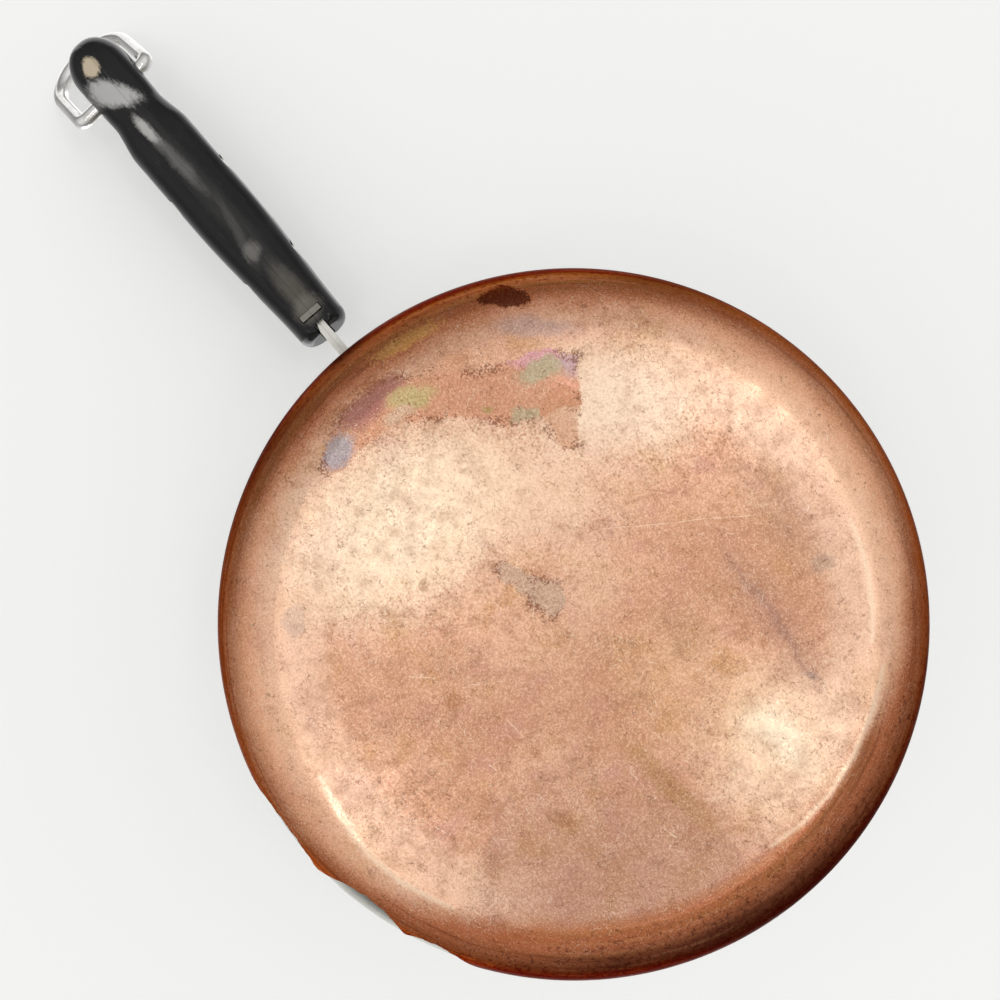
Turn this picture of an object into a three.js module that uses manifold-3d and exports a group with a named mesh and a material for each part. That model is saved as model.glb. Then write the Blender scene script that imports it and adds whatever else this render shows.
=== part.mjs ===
// A small measuring pot: a stainless steel shell with a rolled rim and two pour lips,
// a copper skin over the base, a black two-piece grip on a pair of bent steel brackets,
// and a wire hanging ring that swings in the head of the grip.
// Millimetres, +Z up. The origin is the centre of the flat underside, the handle points along +X.

import * as THREE from "three";
import { mergeVertices } from "three/addons/utils/BufferGeometryUtils.js";
import Module from "manifold-3d";

const wasm = await Module();
wasm.setup();

const degree = Math.PI / 180;

// Fineness of the faceted rounds
const mergeDistance = 1e-3;
const leastMitre = 0.5;
const roundSegments = 72;
const cornerSteps = 6;
const lipSteps = 3;
const rollSteps = 8;
const markSegments = 6;
const skinSteps = 8;
const wornSides = 24;
const gripSegments = 24;
const gripStep = 3.2;
const gripEndSteps = 4;
const tipSteps = 7;
const channelSegments = 6;
const earSteps = 6;
const bendSteps = 5;
const bracketSegments = 12;
const screwSegments = 20;
const crownSteps = 3;
const ringSteps = 52;
const ringSides = 8;
const ringBendSteps = 6;
const ringBowSteps = 10;

// Pot shell
const wallOuterRadius = 62.8;
const wallThickness = 0.9;
const potHeight = 65;
const baseFlatRadius = 51;
const rimRollRadius = 1.9;
const rimRollTurn = 230 * degree;

// Pour lips, one on each side of the handle
const lipReach = 4.5;
const lipHalfTurn = 18 * degree;
const lipDrop = 16;
const lipTurns = [90 * degree, -90 * degree];

// Graduation lines pressed into the inner wall, opposite the handle
const cupVolume = 236588;
const firstMark = 1;
const lastMark = 2.5;
const markStep = 0.5;
const markDepth = 0.3;
const markWidth = 0.8;
const markTurn = 180 * degree;
const wholeMarkHalfTurn = 10 * degree;
const halfMarkHalfTurn = 6 * degree;

// Copper skin
const copperThickness = 0.5;
const bondGap = 0.2;
const copperAboveCorner = 0.5;
const copperEdgeWave = 0.5;
const copperEdgeWaves = 5;
// Scalloped bites where the edge of the skin has worn away, seen from below
const wornPlaces = [
  { turn: -115 * degree, halfWidth: 7.5, depth: 4.2 },
  { turn: -102 * degree, halfWidth: 10, depth: 5.6 },
  { turn: -85 * degree, halfWidth: 13, depth: 3.2 },
];

// Handle: its middle line is level, below the rim, and lies in the plane y = 0
const handleDrop = 15;
const gripStandoff = 14.2;
const gripLength = 82;
const gripSquareness = 2.3;
const seamGap = 0.2;

// Grip sections: half widths, and heights above and below the middle line
const gripEndHalfWidth = 5.9;
const gripEndTop = 6.2;
const gripEndRound = 2.4;
const gripEndFlat = 0.62;
const palmFromStart = 35;
const palmLength = 20;
const palmHalfWidth = 7.5;
const palmTop = 7.2;
const gripBottom = 6.8;
const neckFromTip = 18.5;
const neckHalfWidth = 6.3;
const neckTop = 6.2;
const neckBottom = 5.9;
const headFromTip = 7.6;
const headHalfWidth = 6.6;
const headTop = 6.6;
const headBottom = 8.2;

// Channel along the underside of the grip
const channelLength = 61;
const channelWideHalf = 2.9;
const channelNarrowHalf = 1.3;
const channelDepth = 1;

// Brackets: two mirrored stampings, each an ear on the wall and a tongue in the grip
const bracketThickness = 1.1;
const tongueGap = 0.2;
const weldGap = 0.2;
const bendRadius = 1.8;
const earHalfTurn = 13 * degree;
const earTop = 7;
const earBottom = 11;
const earRun = 3;
const tongueHalfHeight = 5;
const tongueDepth = 50;
const tongueTipRound = 3;
const lugFromStart = 4.4;
const lugLength = 1.3;
const lugReach = 2.5;
const lugDrop = 1.3;
const lugRise = 1.2;
const mouthLength = 1.9;
const gripClearance = 0.2;

// Cross screws with sleeve nuts
const frontScrewFromStart = 18;
const screwSpacing = 24;
const shankRadius = 1.5;
const sleeveRadius = 2.3;
const threadClearance = 0.1;
const screwHeadRadius = 2.9;
const screwHeadHeight = 1.5;
const screwHeadRim = 0.7;
const screwHeadSink = 0.1;
const screwLap = 3;
const slotWidth = 0.8;
const slotDepth = 0.7;
const screwClearance = 0.2;

// Hanging ring of round wire, sprung into a cross bore of the head
const ringPivotFromTip = 11.7;
const ringWireRadius = 1.55;
const ringSideClearance = 1.7;
const ringLength = 23;
const ringBendRadius = 1.8;
const ringPinLength = 4.6;
const ringBoreClearance = 0.75;
const ringTilt = 36 * degree;
const ringSkew = 4 * degree;
const ringShift = 1;

// Worked out from the sizes above
const handleHeight = potHeight - handleDrop;
const gripStart = wallOuterRadius + gripStandoff;
const gripEnd = gripStart + gripLength;
const palmStart = gripStart + palmFromStart;
const palmEnd = palmStart + palmLength;
const neckPlace = gripEnd - neckFromTip;
const headPlace = gripEnd - headFromTip;
const tongueEnd = gripStart + tongueDepth;
const lugPlace = gripStart + lugFromStart;
const frontScrew = gripStart + frontScrewFromStart;
const screwPlaces = { front: frontScrew, rear: frontScrew + screwSpacing };
const ringPivot = gripEnd - ringPivotFromTip;
const wallInnerRadius = wallOuterRadius - wallThickness;
const steelBottom = copperThickness + bondGap;
const copperCorner = wallOuterRadius + bondGap + copperThickness / 2 - baseFlatRadius;
const tongueInner = tongueGap / 2;
const tongueOuter = tongueInner + bracketThickness;
const ringBoreRadius = ringWireRadius + ringBoreClearance;
const past = 1;
const besideGrip = Math.max(gripEndHalfWidth, palmHalfWidth, neckHalfWidth, headHalfWidth) + past;
const aboveGrip = Math.max(gripEndTop, palmTop, neckTop, headTop) + past;
const belowGrip = Math.max(gripBottom, neckBottom, headBottom) + past;

// Geometry helpers

function toSolid(geometry) {
  const bare = new THREE.BufferGeometry();
  bare.setAttribute("position", geometry.getAttribute("position").clone());
  bare.setIndex(geometry.getIndex());
  const merged = mergeVertices(bare, mergeDistance);
  return new wasm.Manifold(
    new wasm.Mesh({
      numProp: 3,
      vertProperties: merged.getAttribute("position").array,
      triVerts: new Uint32Array(merged.getIndex().array),
    }),
  );
}

function toGeometry(solid) {
  const mesh = solid.getMesh();
  const geometry = new THREE.BufferGeometry();
  geometry.setAttribute("position", new THREE.BufferAttribute(mesh.vertProperties, 3));
  geometry.setIndex(new THREE.BufferAttribute(mesh.triVerts, 1));
  geometry.computeVertexNormals();
  return geometry;
}

// Eases from 0 to 1 as the share goes from 0 to 1.
function ease(share) {
  return THREE.MathUtils.smoothstep(share, 0, 1);
}

// A bump of height 1 that fades to 0 at one half width from its middle.
function bump(offset, half) {
  const turns = Math.abs(Math.atan2(Math.sin(offset), Math.cos(offset)));
  return ease(1 - turns / half);
}

// A value along x that eases from each station to the next.
function alongStations(x, stations) {
  let value = stations[0][1];
  for (let i = 1; i < stations.length; i++) {
    const [x0] = stations[i - 1];
    const [x1, next] = stations[i];
    value = THREE.MathUtils.lerp(value, next, ease((x - x0) / (x1 - x0)));
  }
  return value;
}

function arcPoints(cx, cy, radius, from, to, steps) {
  return Array.from({ length: steps + 1 }, (_, i) => {
    const angle = from + ((to - from) * i) / steps;
    return new THREE.Vector2(cx + radius * Math.cos(angle), cy + radius * Math.sin(angle));
  });
}

// The closed outline of a sheet of even thickness along its middle line.
function sheetOutline(middle, thickness) {
  const sides = [1, -1].map((side) =>
    middle.map((point, i) => {
      const before = middle[Math.max(i - 1, 0)];
      const after = middle[Math.min(i + 1, middle.length - 1)];
      const into = point.clone().sub(before).normalize();
      const out = after.clone().sub(point).normalize();
      const along = into.clone().add(out).normalize();
      const stretch = 1 / Math.max(along.dot(i > 0 ? into : out), leastMitre);
      const normal = new THREE.Vector2(along.y, -along.x);
      return point.clone().addScaledVector(normal, (side * stretch * thickness) / 2);
    }),
  );
  return [...sides[0], ...sides[1].reverse()];
}

// Turns a profile round the Z axis. The place function gives a profile point's radius and height
// for its number in the profile and the turn about +Z, measured from +X.
function revolve(profile, segments, place) {
  const geometry = new THREE.LatheGeometry(profile, segments);
  const position = geometry.getAttribute("position");
  for (let v = 0; v < position.count; v++) {
    const ring = Math.floor(v / profile.length) % segments;
    const turn = (ring * 2 * Math.PI) / segments - Math.PI / 2;
    const { x: radius, y: height } = place(v % profile.length, turn);
    position.setXYZ(v, radius * Math.cos(turn), radius * Math.sin(turn), height);
  }
  return geometry;
}

// A flat shape in x and y, raised from one height to another.
function raised(shape, low, high, curveSegments) {
  const geometry = new THREE.ExtrudeGeometry(shape, {
    depth: high - low,
    bevelEnabled: false,
    curveSegments,
  });
  return geometry.translate(0, 0, low);
}

// A flat shape in x and z, drawn through from one y to another.
function drawnAcross(shape, low, high) {
  return raised(shape, -high, -low, bracketSegments).rotateX(Math.PI / 2);
}

function boxBetween(low, high) {
  const size = high.map((value, i) => value - low[i]);
  const middle = high.map((value, i) => (value + low[i]) / 2);
  return toSolid(new THREE.BoxGeometry(...size).translate(...middle));
}

// A round bar along y.
function barAcross(x, radius, low, high, segments) {
  const bar = new THREE.CylinderGeometry(radius, radius, high - low, segments);
  return toSolid(bar.translate(x, (low + high) / 2, 0));
}

// Pot shell

function rimMiddleLine() {
  const middleRadius = wallOuterRadius - wallThickness / 2;
  const cornerRadius = middleRadius - baseFlatRadius;
  const bottom = steelBottom + wallThickness / 2;
  const rollCentre = potHeight - rimRollRadius - wallThickness / 2;
  const lipStart = potHeight - lipDrop;
  const wall = Array.from({ length: lipSteps }, (_, i) => {
    const height = lipStart + ((rollCentre - lipStart) * i) / lipSteps;
    return new THREE.Vector2(middleRadius, height);
  });
  return [
    new THREE.Vector2(0, bottom),
    ...arcPoints(
      baseFlatRadius,
      bottom + cornerRadius,
      cornerRadius,
      -Math.PI / 2,
      0,
      cornerSteps,
    ),
    ...wall,
    ...arcPoints(
      middleRadius + rimRollRadius,
      rollCentre,
      rimRollRadius,
      Math.PI,
      Math.PI - rimRollTurn,
      rollSteps,
    ),
  ];
}

function lipOffset(turn, height) {
  const rise = ease((height - (potHeight - lipDrop)) / lipDrop);
  const swell = lipTurns.reduce((sum, lip) => sum + bump(turn - lip, lipHalfTurn), 0);
  return lipReach * rise * swell;
}

// Height above the inside bottom that a poured volume reaches.
function fillHeight(volume) {
  const corner = wallInnerRadius - baseFlatRadius;
  const flatPart = baseFlatRadius ** 2 * corner;
  const ringPart = (baseFlatRadius * corner ** 2 * Math.PI) / 2;
  const cornerVolume = Math.PI * (flatPart + ringPart + (2 / 3) * corner ** 3);
  return corner + (volume - cornerVolume) / (Math.PI * wallInnerRadius ** 2);
}

function markSolid(cups) {
  const half = Number.isInteger(cups) ? wholeMarkHalfTurn : halfMarkHalfTurn;
  const from = markTurn - half;
  const to = markTurn + half;
  const shape = new THREE.Shape();
  shape.absarc(0, 0, wallInnerRadius + markDepth, from, to, false);
  shape.absarc(0, 0, wallInnerRadius - past, to, from, true);
  const height = steelBottom + wallThickness + fillHeight(cups * cupVolume);
  return toSolid(raised(shape, height - markWidth / 2, height + markWidth / 2, markSegments));
}

function potShell() {
  const profile = sheetOutline(rimMiddleLine(), wallThickness);
  const place = (i, turn) => {
    const { x, y } = profile[i];
    return { x: x + lipOffset(turn, y), y };
  };
  let shell = toSolid(revolve(profile, roundSegments, place));
  for (let cups = firstMark; cups <= lastMark; cups += markStep) {
    shell = shell.subtract(markSolid(cups));
  }
  return toGeometry(shell);
}

// Copper skin

// An upright oval post that bites into the skin from outside.
function wornSpace({ turn, halfWidth, depth }) {
  const tall = copperThickness + copperCorner + copperAboveCorner + copperEdgeWave + past;
  const outside = wallOuterRadius + bondGap + copperThickness;
  const post = new THREE.CylinderGeometry(1, 1, 2 * tall, wornSides);
  post.rotateX(Math.PI / 2).scale(depth, halfWidth, 1);
  return toSolid(post.translate(outside, 0, 0).rotateZ(turn));
}

function copperSkin() {
  const bottom = copperThickness / 2;
  const cornerLength = (copperCorner * Math.PI) / 2;
  const reach = (turn) =>
    cornerLength + copperAboveCorner + copperEdgeWave * Math.sin(copperEdgeWaves * turn);
  const onSkin = (distance, side) => {
    const angle = Math.min(distance, cornerLength) / copperCorner;
    const normal = new THREE.Vector2(Math.sin(angle), -Math.cos(angle));
    const radius = baseFlatRadius + copperCorner * Math.sin(angle);
    const height = bottom + copperCorner * (1 - Math.cos(angle));
    const above = Math.max(distance - cornerLength, 0);
    return new THREE.Vector2(radius, height + above).addScaledVector(normal, side * bottom);
  };
  const shares = Array.from({ length: skinSteps + 1 }, (_, i) => i / skinSteps);
  const outside = shares.map((share) => ({ share, side: 1 }));
  const inside = shares.map((share) => ({ share, side: -1 })).reverse();
  const rows = [...outside, ...inside];
  const place = (i, turn) => {
    if (i === 0) return new THREE.Vector2(0, 0);
    if (i > rows.length) return new THREE.Vector2(0, copperThickness);
    const { share, side } = rows[i - 1];
    return onSkin(share * reach(turn), side);
  };
  const profile = Array.from({ length: rows.length + 2 }, (_, i) => place(i, 0));
  let skin = toSolid(revolve(profile, roundSegments, place));
  for (const worn of wornPlaces) {
    skin = skin.subtract(wornSpace(worn));
  }
  return toGeometry(skin);
}

// Grip

function gripHalfWidth(x) {
  return alongStations(x, [
    [gripStart, gripEndHalfWidth],
    [palmStart, palmHalfWidth],
    [palmEnd, palmHalfWidth],
    [neckPlace, neckHalfWidth],
    [headPlace, headHalfWidth],
  ]);
}

function gripUpper(x) {
  return alongStations(x, [
    [gripStart, gripEndTop],
    [palmStart, palmTop],
    [palmEnd, palmTop],
    [neckPlace, neckTop],
    [headPlace, headTop],
  ]);
}

function gripLower(x) {
  return alongStations(x, [
    [palmEnd, gripBottom],
    [neckPlace, neckBottom],
    [headPlace, headBottom],
  ]);
}

// Stations along the grip with the share of the full section at each: rounded at both ends.
function gripProfile() {
  const roundEnd = gripStart + gripEndRound;
  const potEnd = arcPoints(0, 0, 1, -Math.PI / 2, 0, gripEndSteps).map(
    ({ x, y }) =>
      new THREE.Vector2(THREE.MathUtils.lerp(gripEndFlat, 1, x), roundEnd + gripEndRound * y),
  );
  const bodySteps = Math.round((headPlace - roundEnd) / gripStep);
  const body = Array.from({ length: bodySteps - 1 }, (_, i) => {
    const share = (i + 1) / bodySteps;
    return new THREE.Vector2(1, THREE.MathUtils.lerp(roundEnd, headPlace, share));
  });
  const tip = arcPoints(0, 0, 1, 0, Math.PI / 2, tipSteps).map(
    ({ x, y }) => new THREE.Vector2(x, headPlace + headFromTip * y),
  );
  tip[tip.length - 1].x = 0;
  return [new THREE.Vector2(0, gripStart), ...potEnd, ...body, ...tip];
}

function gripBlank() {
  const geometry = new THREE.LatheGeometry(gripProfile(), gripSegments);
  geometry.rotateZ(-Math.PI / 2);
  const position = geometry.getAttribute("position");
  const power = 2 / gripSquareness;
  for (let v = 0; v < position.count; v++) {
    const x = position.getX(v);
    const share = Math.hypot(position.getY(v), position.getZ(v));
    const angle = Math.atan2(position.getZ(v), position.getY(v));
    const across = Math.sign(Math.cos(angle)) * Math.abs(Math.cos(angle)) ** power;
    const up = Math.sign(Math.sin(angle)) * Math.abs(Math.sin(angle)) ** power;
    const tall = up > 0 ? gripUpper(x) : gripLower(x);
    position.setXYZ(v, x, share * across * gripHalfWidth(x), share * up * tall);
  }
  return toSolid(geometry);
}

function channelSolid() {
  const channelStart = gripStart - past;
  const channelEnd = gripStart + channelLength;
  const shape = new THREE.Shape();
  shape.moveTo(channelStart, -channelWideHalf);
  shape.lineTo(channelEnd, -channelNarrowHalf);
  shape.absarc(channelEnd, 0, channelNarrowHalf, -Math.PI / 2, Math.PI / 2, false);
  shape.lineTo(channelStart, channelWideHalf);
  shape.closePath();
  return toSolid(raised(shape, -belowGrip, channelDepth - gripBottom, channelSegments));
}

function tongueSpace() {
  const y = tongueOuter + gripClearance;
  const z = tongueHalfHeight + gripClearance;
  return boxBetween([gripStart - past, -y, -z], [tongueEnd + gripClearance, y, z]);
}

function lugSpace() {
  const reach = lugReach + gripClearance;
  const half = lugLength / 2 + gripClearance;
  const top = lugRise + gripClearance - tongueHalfHeight;
  return boxBetween([lugPlace - half, -reach, -belowGrip], [lugPlace + half, reach, top]);
}

// The open mouth where the tongues enter the grip, seen from below.
function mouthSpace() {
  const y = tongueOuter + gripClearance;
  return boxBetween([gripStart - past, -y, -belowGrip], [gripStart + mouthLength, y, 0]);
}

function screwSeat(x) {
  return gripHalfWidth(x) - screwHeadHeight - screwHeadSink;
}

function gripHalf(side) {
  const near = seamGap / 2;
  const low = side > 0 ? near : -besideGrip;
  const high = side > 0 ? besideGrip : -near;
  const keep = boxBetween(
    [gripStart - past, low, -belowGrip],
    [gripEnd + past, high, aboveGrip],
  );
  let half = gripBlank().intersect(keep);
  const spaces = [channelSolid(), tongueSpace(), lugSpace(), mouthSpace()];
  spaces.push(barAcross(ringPivot, ringBoreRadius, low, high, screwSegments));
  for (const x of Object.values(screwPlaces)) {
    const through = (side > 0 ? shankRadius : sleeveRadius) + screwClearance;
    const headSpace = screwHeadRadius + screwClearance;
    const seat = screwSeat(x) - screwClearance;
    spaces.push(barAcross(x, through, low, high, screwSegments));
    spaces.push(
      side > 0
        ? barAcross(x, headSpace, seat, high, screwSegments)
        : barAcross(x, headSpace, low, -seat, screwSegments),
    );
  }
  for (const space of spaces) {
    half = half.subtract(space);
  }
  return toGeometry(half);
}

// Brackets

function bracketMiddleLine(side) {
  const earRadius = wallOuterRadius + weldGap + bracketThickness / 2;
  const tongueMiddle = tongueInner + bracketThickness / 2;
  const bendX = Math.sqrt((earRadius + bendRadius) ** 2 - (tongueMiddle + bendRadius) ** 2);
  const bendTurn = Math.atan2(tongueMiddle + bendRadius, bendX);
  const line = [
    ...arcPoints(0, 0, earRadius, earHalfTurn, bendTurn, earSteps).slice(0, -1),
    ...arcPoints(
      bendX,
      tongueMiddle + bendRadius,
      bendRadius,
      Math.PI + bendTurn,
      1.5 * Math.PI,
      bendSteps,
    ),
    new THREE.Vector2(tongueEnd, tongueMiddle),
  ];
  return line.map(({ x, y }) => new THREE.Vector2(x, side * y));
}

// The outline of a bracket seen from the side: a tall ear that runs out into the tongue.
function bracketSide() {
  const inside = wallOuterRadius * Math.cos(earHalfTurn) - past;
  const earEnd = wallOuterRadius + weldGap + bracketThickness + earRun;
  const taperEnd = gripStart;
  const tipX = tongueEnd - tongueTipRound;
  const tipZ = tongueHalfHeight - tongueTipRound;
  const shape = new THREE.Shape();
  shape.moveTo(inside, -earBottom);
  shape.lineTo(earEnd - earRun, -earBottom);
  shape.quadraticCurveTo(earEnd, -tongueHalfHeight, taperEnd, -tongueHalfHeight);
  shape.lineTo(tipX, -tongueHalfHeight);
  shape.absarc(tipX, -tipZ, tongueTipRound, -Math.PI / 2, 0, false);
  shape.absarc(tipX, tipZ, tongueTipRound, 0, Math.PI / 2, false);
  shape.lineTo(taperEnd, tongueHalfHeight);
  shape.quadraticCurveTo(earEnd, tongueHalfHeight, earEnd - earRun, earTop);
  shape.lineTo(inside, earTop);
  shape.closePath();
  return shape;
}

function bracket(side) {
  const plan = new THREE.Shape(sheetOutline(bracketMiddleLine(side), bracketThickness));
  const widest = wallOuterRadius;
  let solid = toSolid(raised(plan, -earBottom - past, earTop + past, bracketSegments));
  solid = solid.intersect(toSolid(drawnAcross(bracketSide(), -widest, widest)));
  const [low, high] = side > 0 ? [tongueInner, lugReach] : [-lugReach, -tongueInner];
  const lugBottom = -tongueHalfHeight - lugDrop;
  const lugTop = lugRise - tongueHalfHeight;
  const half = lugLength / 2;
  solid = solid.add(boxBetween([lugPlace - half, low, lugBottom], [lugPlace + half, high, lugTop]));
  for (const x of Object.values(screwPlaces)) {
    const holeRadius = sleeveRadius + screwClearance;
    const reach = tongueOuter + past;
    solid = solid.subtract(barAcross(x, holeRadius, -reach, reach, screwSegments));
  }
  return toGeometry(solid);
}

// Screws and sleeve nuts, each along y with its slotted head on its own side

function domedHead(seat) {
  const rim = seat + screwHeadRim;
  const dome = screwHeadHeight - screwHeadRim;
  const crown = arcPoints(0, 0, 1, 0, Math.PI / 2, crownSteps).map(
    ({ x, y }) => new THREE.Vector2(screwHeadRadius * x, rim + dome * y),
  );
  crown[crown.length - 1].x = 0;
  return [new THREE.Vector2(screwHeadRadius, seat), ...crown];
}

function slotted(profile, seat) {
  const top = seat + screwHeadHeight;
  const long = screwHeadRadius + past;
  const slot = boxBetween(
    [-long, top - slotDepth, -slotWidth / 2],
    [long, top + past, slotWidth / 2],
  );
  return toSolid(new THREE.LatheGeometry(profile, screwSegments)).subtract(slot);
}

function screwSolid(x) {
  const seat = screwSeat(x);
  const profile = [
    new THREE.Vector2(0, -screwLap),
    new THREE.Vector2(shankRadius, -screwLap),
    new THREE.Vector2(shankRadius, seat),
    ...domedHead(seat),
  ];
  return toGeometry(slotted(profile, seat));
}

function sleeveNutSolid(x) {
  const seat = screwSeat(x);
  const bore = shankRadius + threadClearance;
  const end = -tongueOuter;
  const boreBottom = screwLap + screwClearance;
  const profile = [
    new THREE.Vector2(0, boreBottom),
    new THREE.Vector2(bore, boreBottom),
    new THREE.Vector2(bore, end),
    new THREE.Vector2(sleeveRadius, end),
    new THREE.Vector2(sleeveRadius, seat),
    ...domedHead(seat),
  ];
  return toGeometry(slotted(profile, seat));
}

// Hanging ring, drawn lying straight out from its pins, which point along y

class RingLine extends THREE.Curve {
  constructor() {
    super();
    const half = headHalfWidth + ringSideClearance + ringWireRadius;
    const armEnd = ringLength - half;
    const bend = ringBendRadius;
    const oneSide = [
      new THREE.Vector2(0, headHalfWidth - ringPinLength),
      ...arcPoints(bend, half - bend, bend, Math.PI, Math.PI / 2, ringBendSteps),
      ...arcPoints(armEnd, 0, half, Math.PI / 2, 0, ringBowSteps),
    ];
    const otherSide = oneSide.slice(0, -1).reverse();
    this.corners = [...oneSide, ...otherSide.map(({ x, y }) => new THREE.Vector2(x, -y))];
    this.lengths = [0];
    for (let i = 1; i < this.corners.length; i++) {
      const step = this.corners[i].distanceTo(this.corners[i - 1]);
      this.lengths.push(this.lengths[i - 1] + step);
    }
  }

  getPoint(share, target = new THREE.Vector3()) {
    const distance = share * this.lengths[this.lengths.length - 1];
    const found = this.lengths.findIndex((length) => length >= distance);
    const i = Math.max(found, 1);
    const part = (distance - this.lengths[i - 1]) / (this.lengths[i] - this.lengths[i - 1]);
    const point = this.corners[i - 1].clone().lerp(this.corners[i], part);
    return target.set(point.x, point.y, 0);
  }
}

function ringSolid() {
  const section = new THREE.Shape(
    arcPoints(0, 0, ringWireRadius, 0, 2 * Math.PI, ringSides).slice(0, -1),
  );
  return new THREE.ExtrudeGeometry(section, {
    steps: ringSteps,
    bevelEnabled: false,
    extrudePath: new RingLine(),
  });
}

// Materials

function finish(color, roughness, metalness) {
  return new THREE.MeshStandardMaterial({ color, roughness, metalness });
}

const stainless = finish(0xb9bab8, 0.32, 1);
const copper = finish(0xc07a55, 0.42, 1);
const phenolic = finish(0x17171a, 0.3, 0);
const bracketSteel = finish(0xd4d3cd, 0.35, 1);
const screwSteel = finish(0xa9a8a4, 0.4, 1);
const ringSteel = finish(0xd9d9d6, 0.22, 1);

function named(name, geometry, material) {
  const mesh = new THREE.Mesh(geometry, material);
  mesh.name = name;
  return mesh;
}

// Assembly

const handle = new THREE.Group();
handle.position.z = handleHeight;
handle.add(named("bracket_left", bracket(1), bracketSteel.clone()));
handle.add(named("bracket_right", bracket(-1), bracketSteel.clone()));
handle.add(named("grip_left", gripHalf(1), phenolic.clone()));
handle.add(named("grip_right", gripHalf(-1), phenolic.clone()));

for (const [place, x] of Object.entries(screwPlaces)) {
  const screw = named(`screw_${place}`, screwSolid(x), screwSteel.clone());
  screw.position.x = x;
  const nut = named(`sleeve_nut_${place}`, sleeveNutSolid(x), screwSteel.clone());
  nut.position.x = x;
  nut.rotation.z = Math.PI;
  handle.add(screw, nut);
}

const ringHinge = new THREE.Group();
ringHinge.position.x = ringPivot;
ringHinge.rotation.z = -ringSkew;
const ring = named("hanging_ring", ringSolid(), ringSteel);
ring.position.y = -ringShift;
ring.rotation.y = -ringTilt;
ringHinge.add(ring);
handle.add(ringHinge);

const pot = new THREE.Group();
pot.add(named("pot_shell", potShell(), stainless));
pot.add(named("copper_base", copperSkin(), copper));
pot.add(handle);

export default pot;
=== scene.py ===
"""Looks of the measuring pot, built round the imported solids.

Metres, in the row frame: the pot stands upright on z = 0 and its handle points along +X.
The photo shows the pot upside down, so the main camera looks straight up at the copper base,
and the surface that it lies on there is a pale plane just past the rim.
"""

import math

import bmesh
import bpy
from mathutils import Matrix, Vector


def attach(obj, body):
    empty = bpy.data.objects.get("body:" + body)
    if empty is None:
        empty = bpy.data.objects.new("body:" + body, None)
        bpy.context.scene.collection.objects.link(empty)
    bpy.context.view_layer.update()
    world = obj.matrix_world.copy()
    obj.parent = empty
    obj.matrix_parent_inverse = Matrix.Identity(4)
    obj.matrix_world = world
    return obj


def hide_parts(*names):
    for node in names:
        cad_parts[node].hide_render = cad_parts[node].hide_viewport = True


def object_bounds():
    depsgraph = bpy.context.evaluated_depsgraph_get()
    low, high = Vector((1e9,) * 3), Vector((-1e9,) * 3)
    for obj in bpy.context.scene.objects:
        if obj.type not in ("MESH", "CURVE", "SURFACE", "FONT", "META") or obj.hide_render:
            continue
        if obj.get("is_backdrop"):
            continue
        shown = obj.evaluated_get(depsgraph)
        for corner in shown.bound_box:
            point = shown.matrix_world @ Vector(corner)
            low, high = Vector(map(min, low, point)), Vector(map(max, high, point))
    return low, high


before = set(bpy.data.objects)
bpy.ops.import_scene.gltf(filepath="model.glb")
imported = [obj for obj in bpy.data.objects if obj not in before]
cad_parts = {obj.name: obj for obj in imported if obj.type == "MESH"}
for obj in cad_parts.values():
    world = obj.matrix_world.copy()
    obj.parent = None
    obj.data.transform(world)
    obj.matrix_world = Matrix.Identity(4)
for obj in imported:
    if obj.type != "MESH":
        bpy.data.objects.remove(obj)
cad_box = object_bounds()
scene = bpy.context.scene
MM = 0.001
DEGREE = math.pi / 180


def way_at(degrees):
    """A level direction, by its turn from the handle."""
    return (math.cos(degrees * DEGREE), math.sin(degrees * DEGREE), 0)


# Pot shell
WALL_RADIUS = 62.8 * MM
WALL = 0.9 * MM
POT_HEIGHT = 65 * MM
BASE_FLAT_RADIUS = 51 * MM
ROLL_RADIUS = 1.9 * MM
ROLL_TURN = 230 * DEGREE
LIP_REACH = 4.5 * MM
LIP_DROP = 16 * MM
LIP_HALF_TURN = 18 * DEGREE
LIP_TURNS = (90 * DEGREE, -90 * DEGREE)

# Graduation lines on the inner wall, opposite the handle
CUP = 236588 * MM**3
MARKED_CUPS = (1, 1.5, 2, 2.5)
MARK_TURN = math.pi
MARK_WIDTH = 0.8 * MM
MARK_DEPTH = 0.3 * MM
MARK_ROWS = (-0.75, -0.25, 0.25, 0.75)
MARK_END_SOFT = 1.5 * DEGREE
WHOLE_MARK_HALF_TURN = 10 * DEGREE
HALF_MARK_HALF_TURN = 6 * DEGREE
NUMERAL_HEIGHT = 6 * MM
NUMERAL_SHARE_OF_SIZE = 0.7
NUMERAL_THICKNESS = 0.3 * MM
NUMERAL_GAP = 4 * MM

# Copper skin, with bites worn out of its edge: turn, half width and depth of each
COPPER = 0.5 * MM
BOND_GAP = 0.2 * MM
COPPER_ABOVE_CORNER = 0.5 * MM
EDGE_WAVE = 0.5 * MM
EDGE_WAVES = 5
WORN_PLACES = (
    (-115 * DEGREE, 7.5 * MM, 4.2 * MM),
    (-102 * DEGREE, 10 * MM, 5.6 * MM),
    (-85 * DEGREE, 13 * MM, 3.2 * MM),
)
BITE_SLOPE = 0.8
BITE_STEP = 0.5 * DEGREE
BITE_STEPS = 20
RAGGED_DEPTH = 0.09 * MM
RAGGED_WAVES = ((1, 97, 0), (0.7, 173, 1), (0.5, 311, 2))
DISH_DEPTH = 0.12 * MM
DISH_EDGE = 6 * MM
RIDGE_FALL = 0.08 * MM
RIDGE_RUN = 1 * MM
SKIN_CORNER = WALL_RADIUS + BOND_GAP + COPPER / 2 - BASE_FLAT_RADIUS
SKIN_OUTSIDE = WALL_RADIUS + BOND_GAP + COPPER

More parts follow.
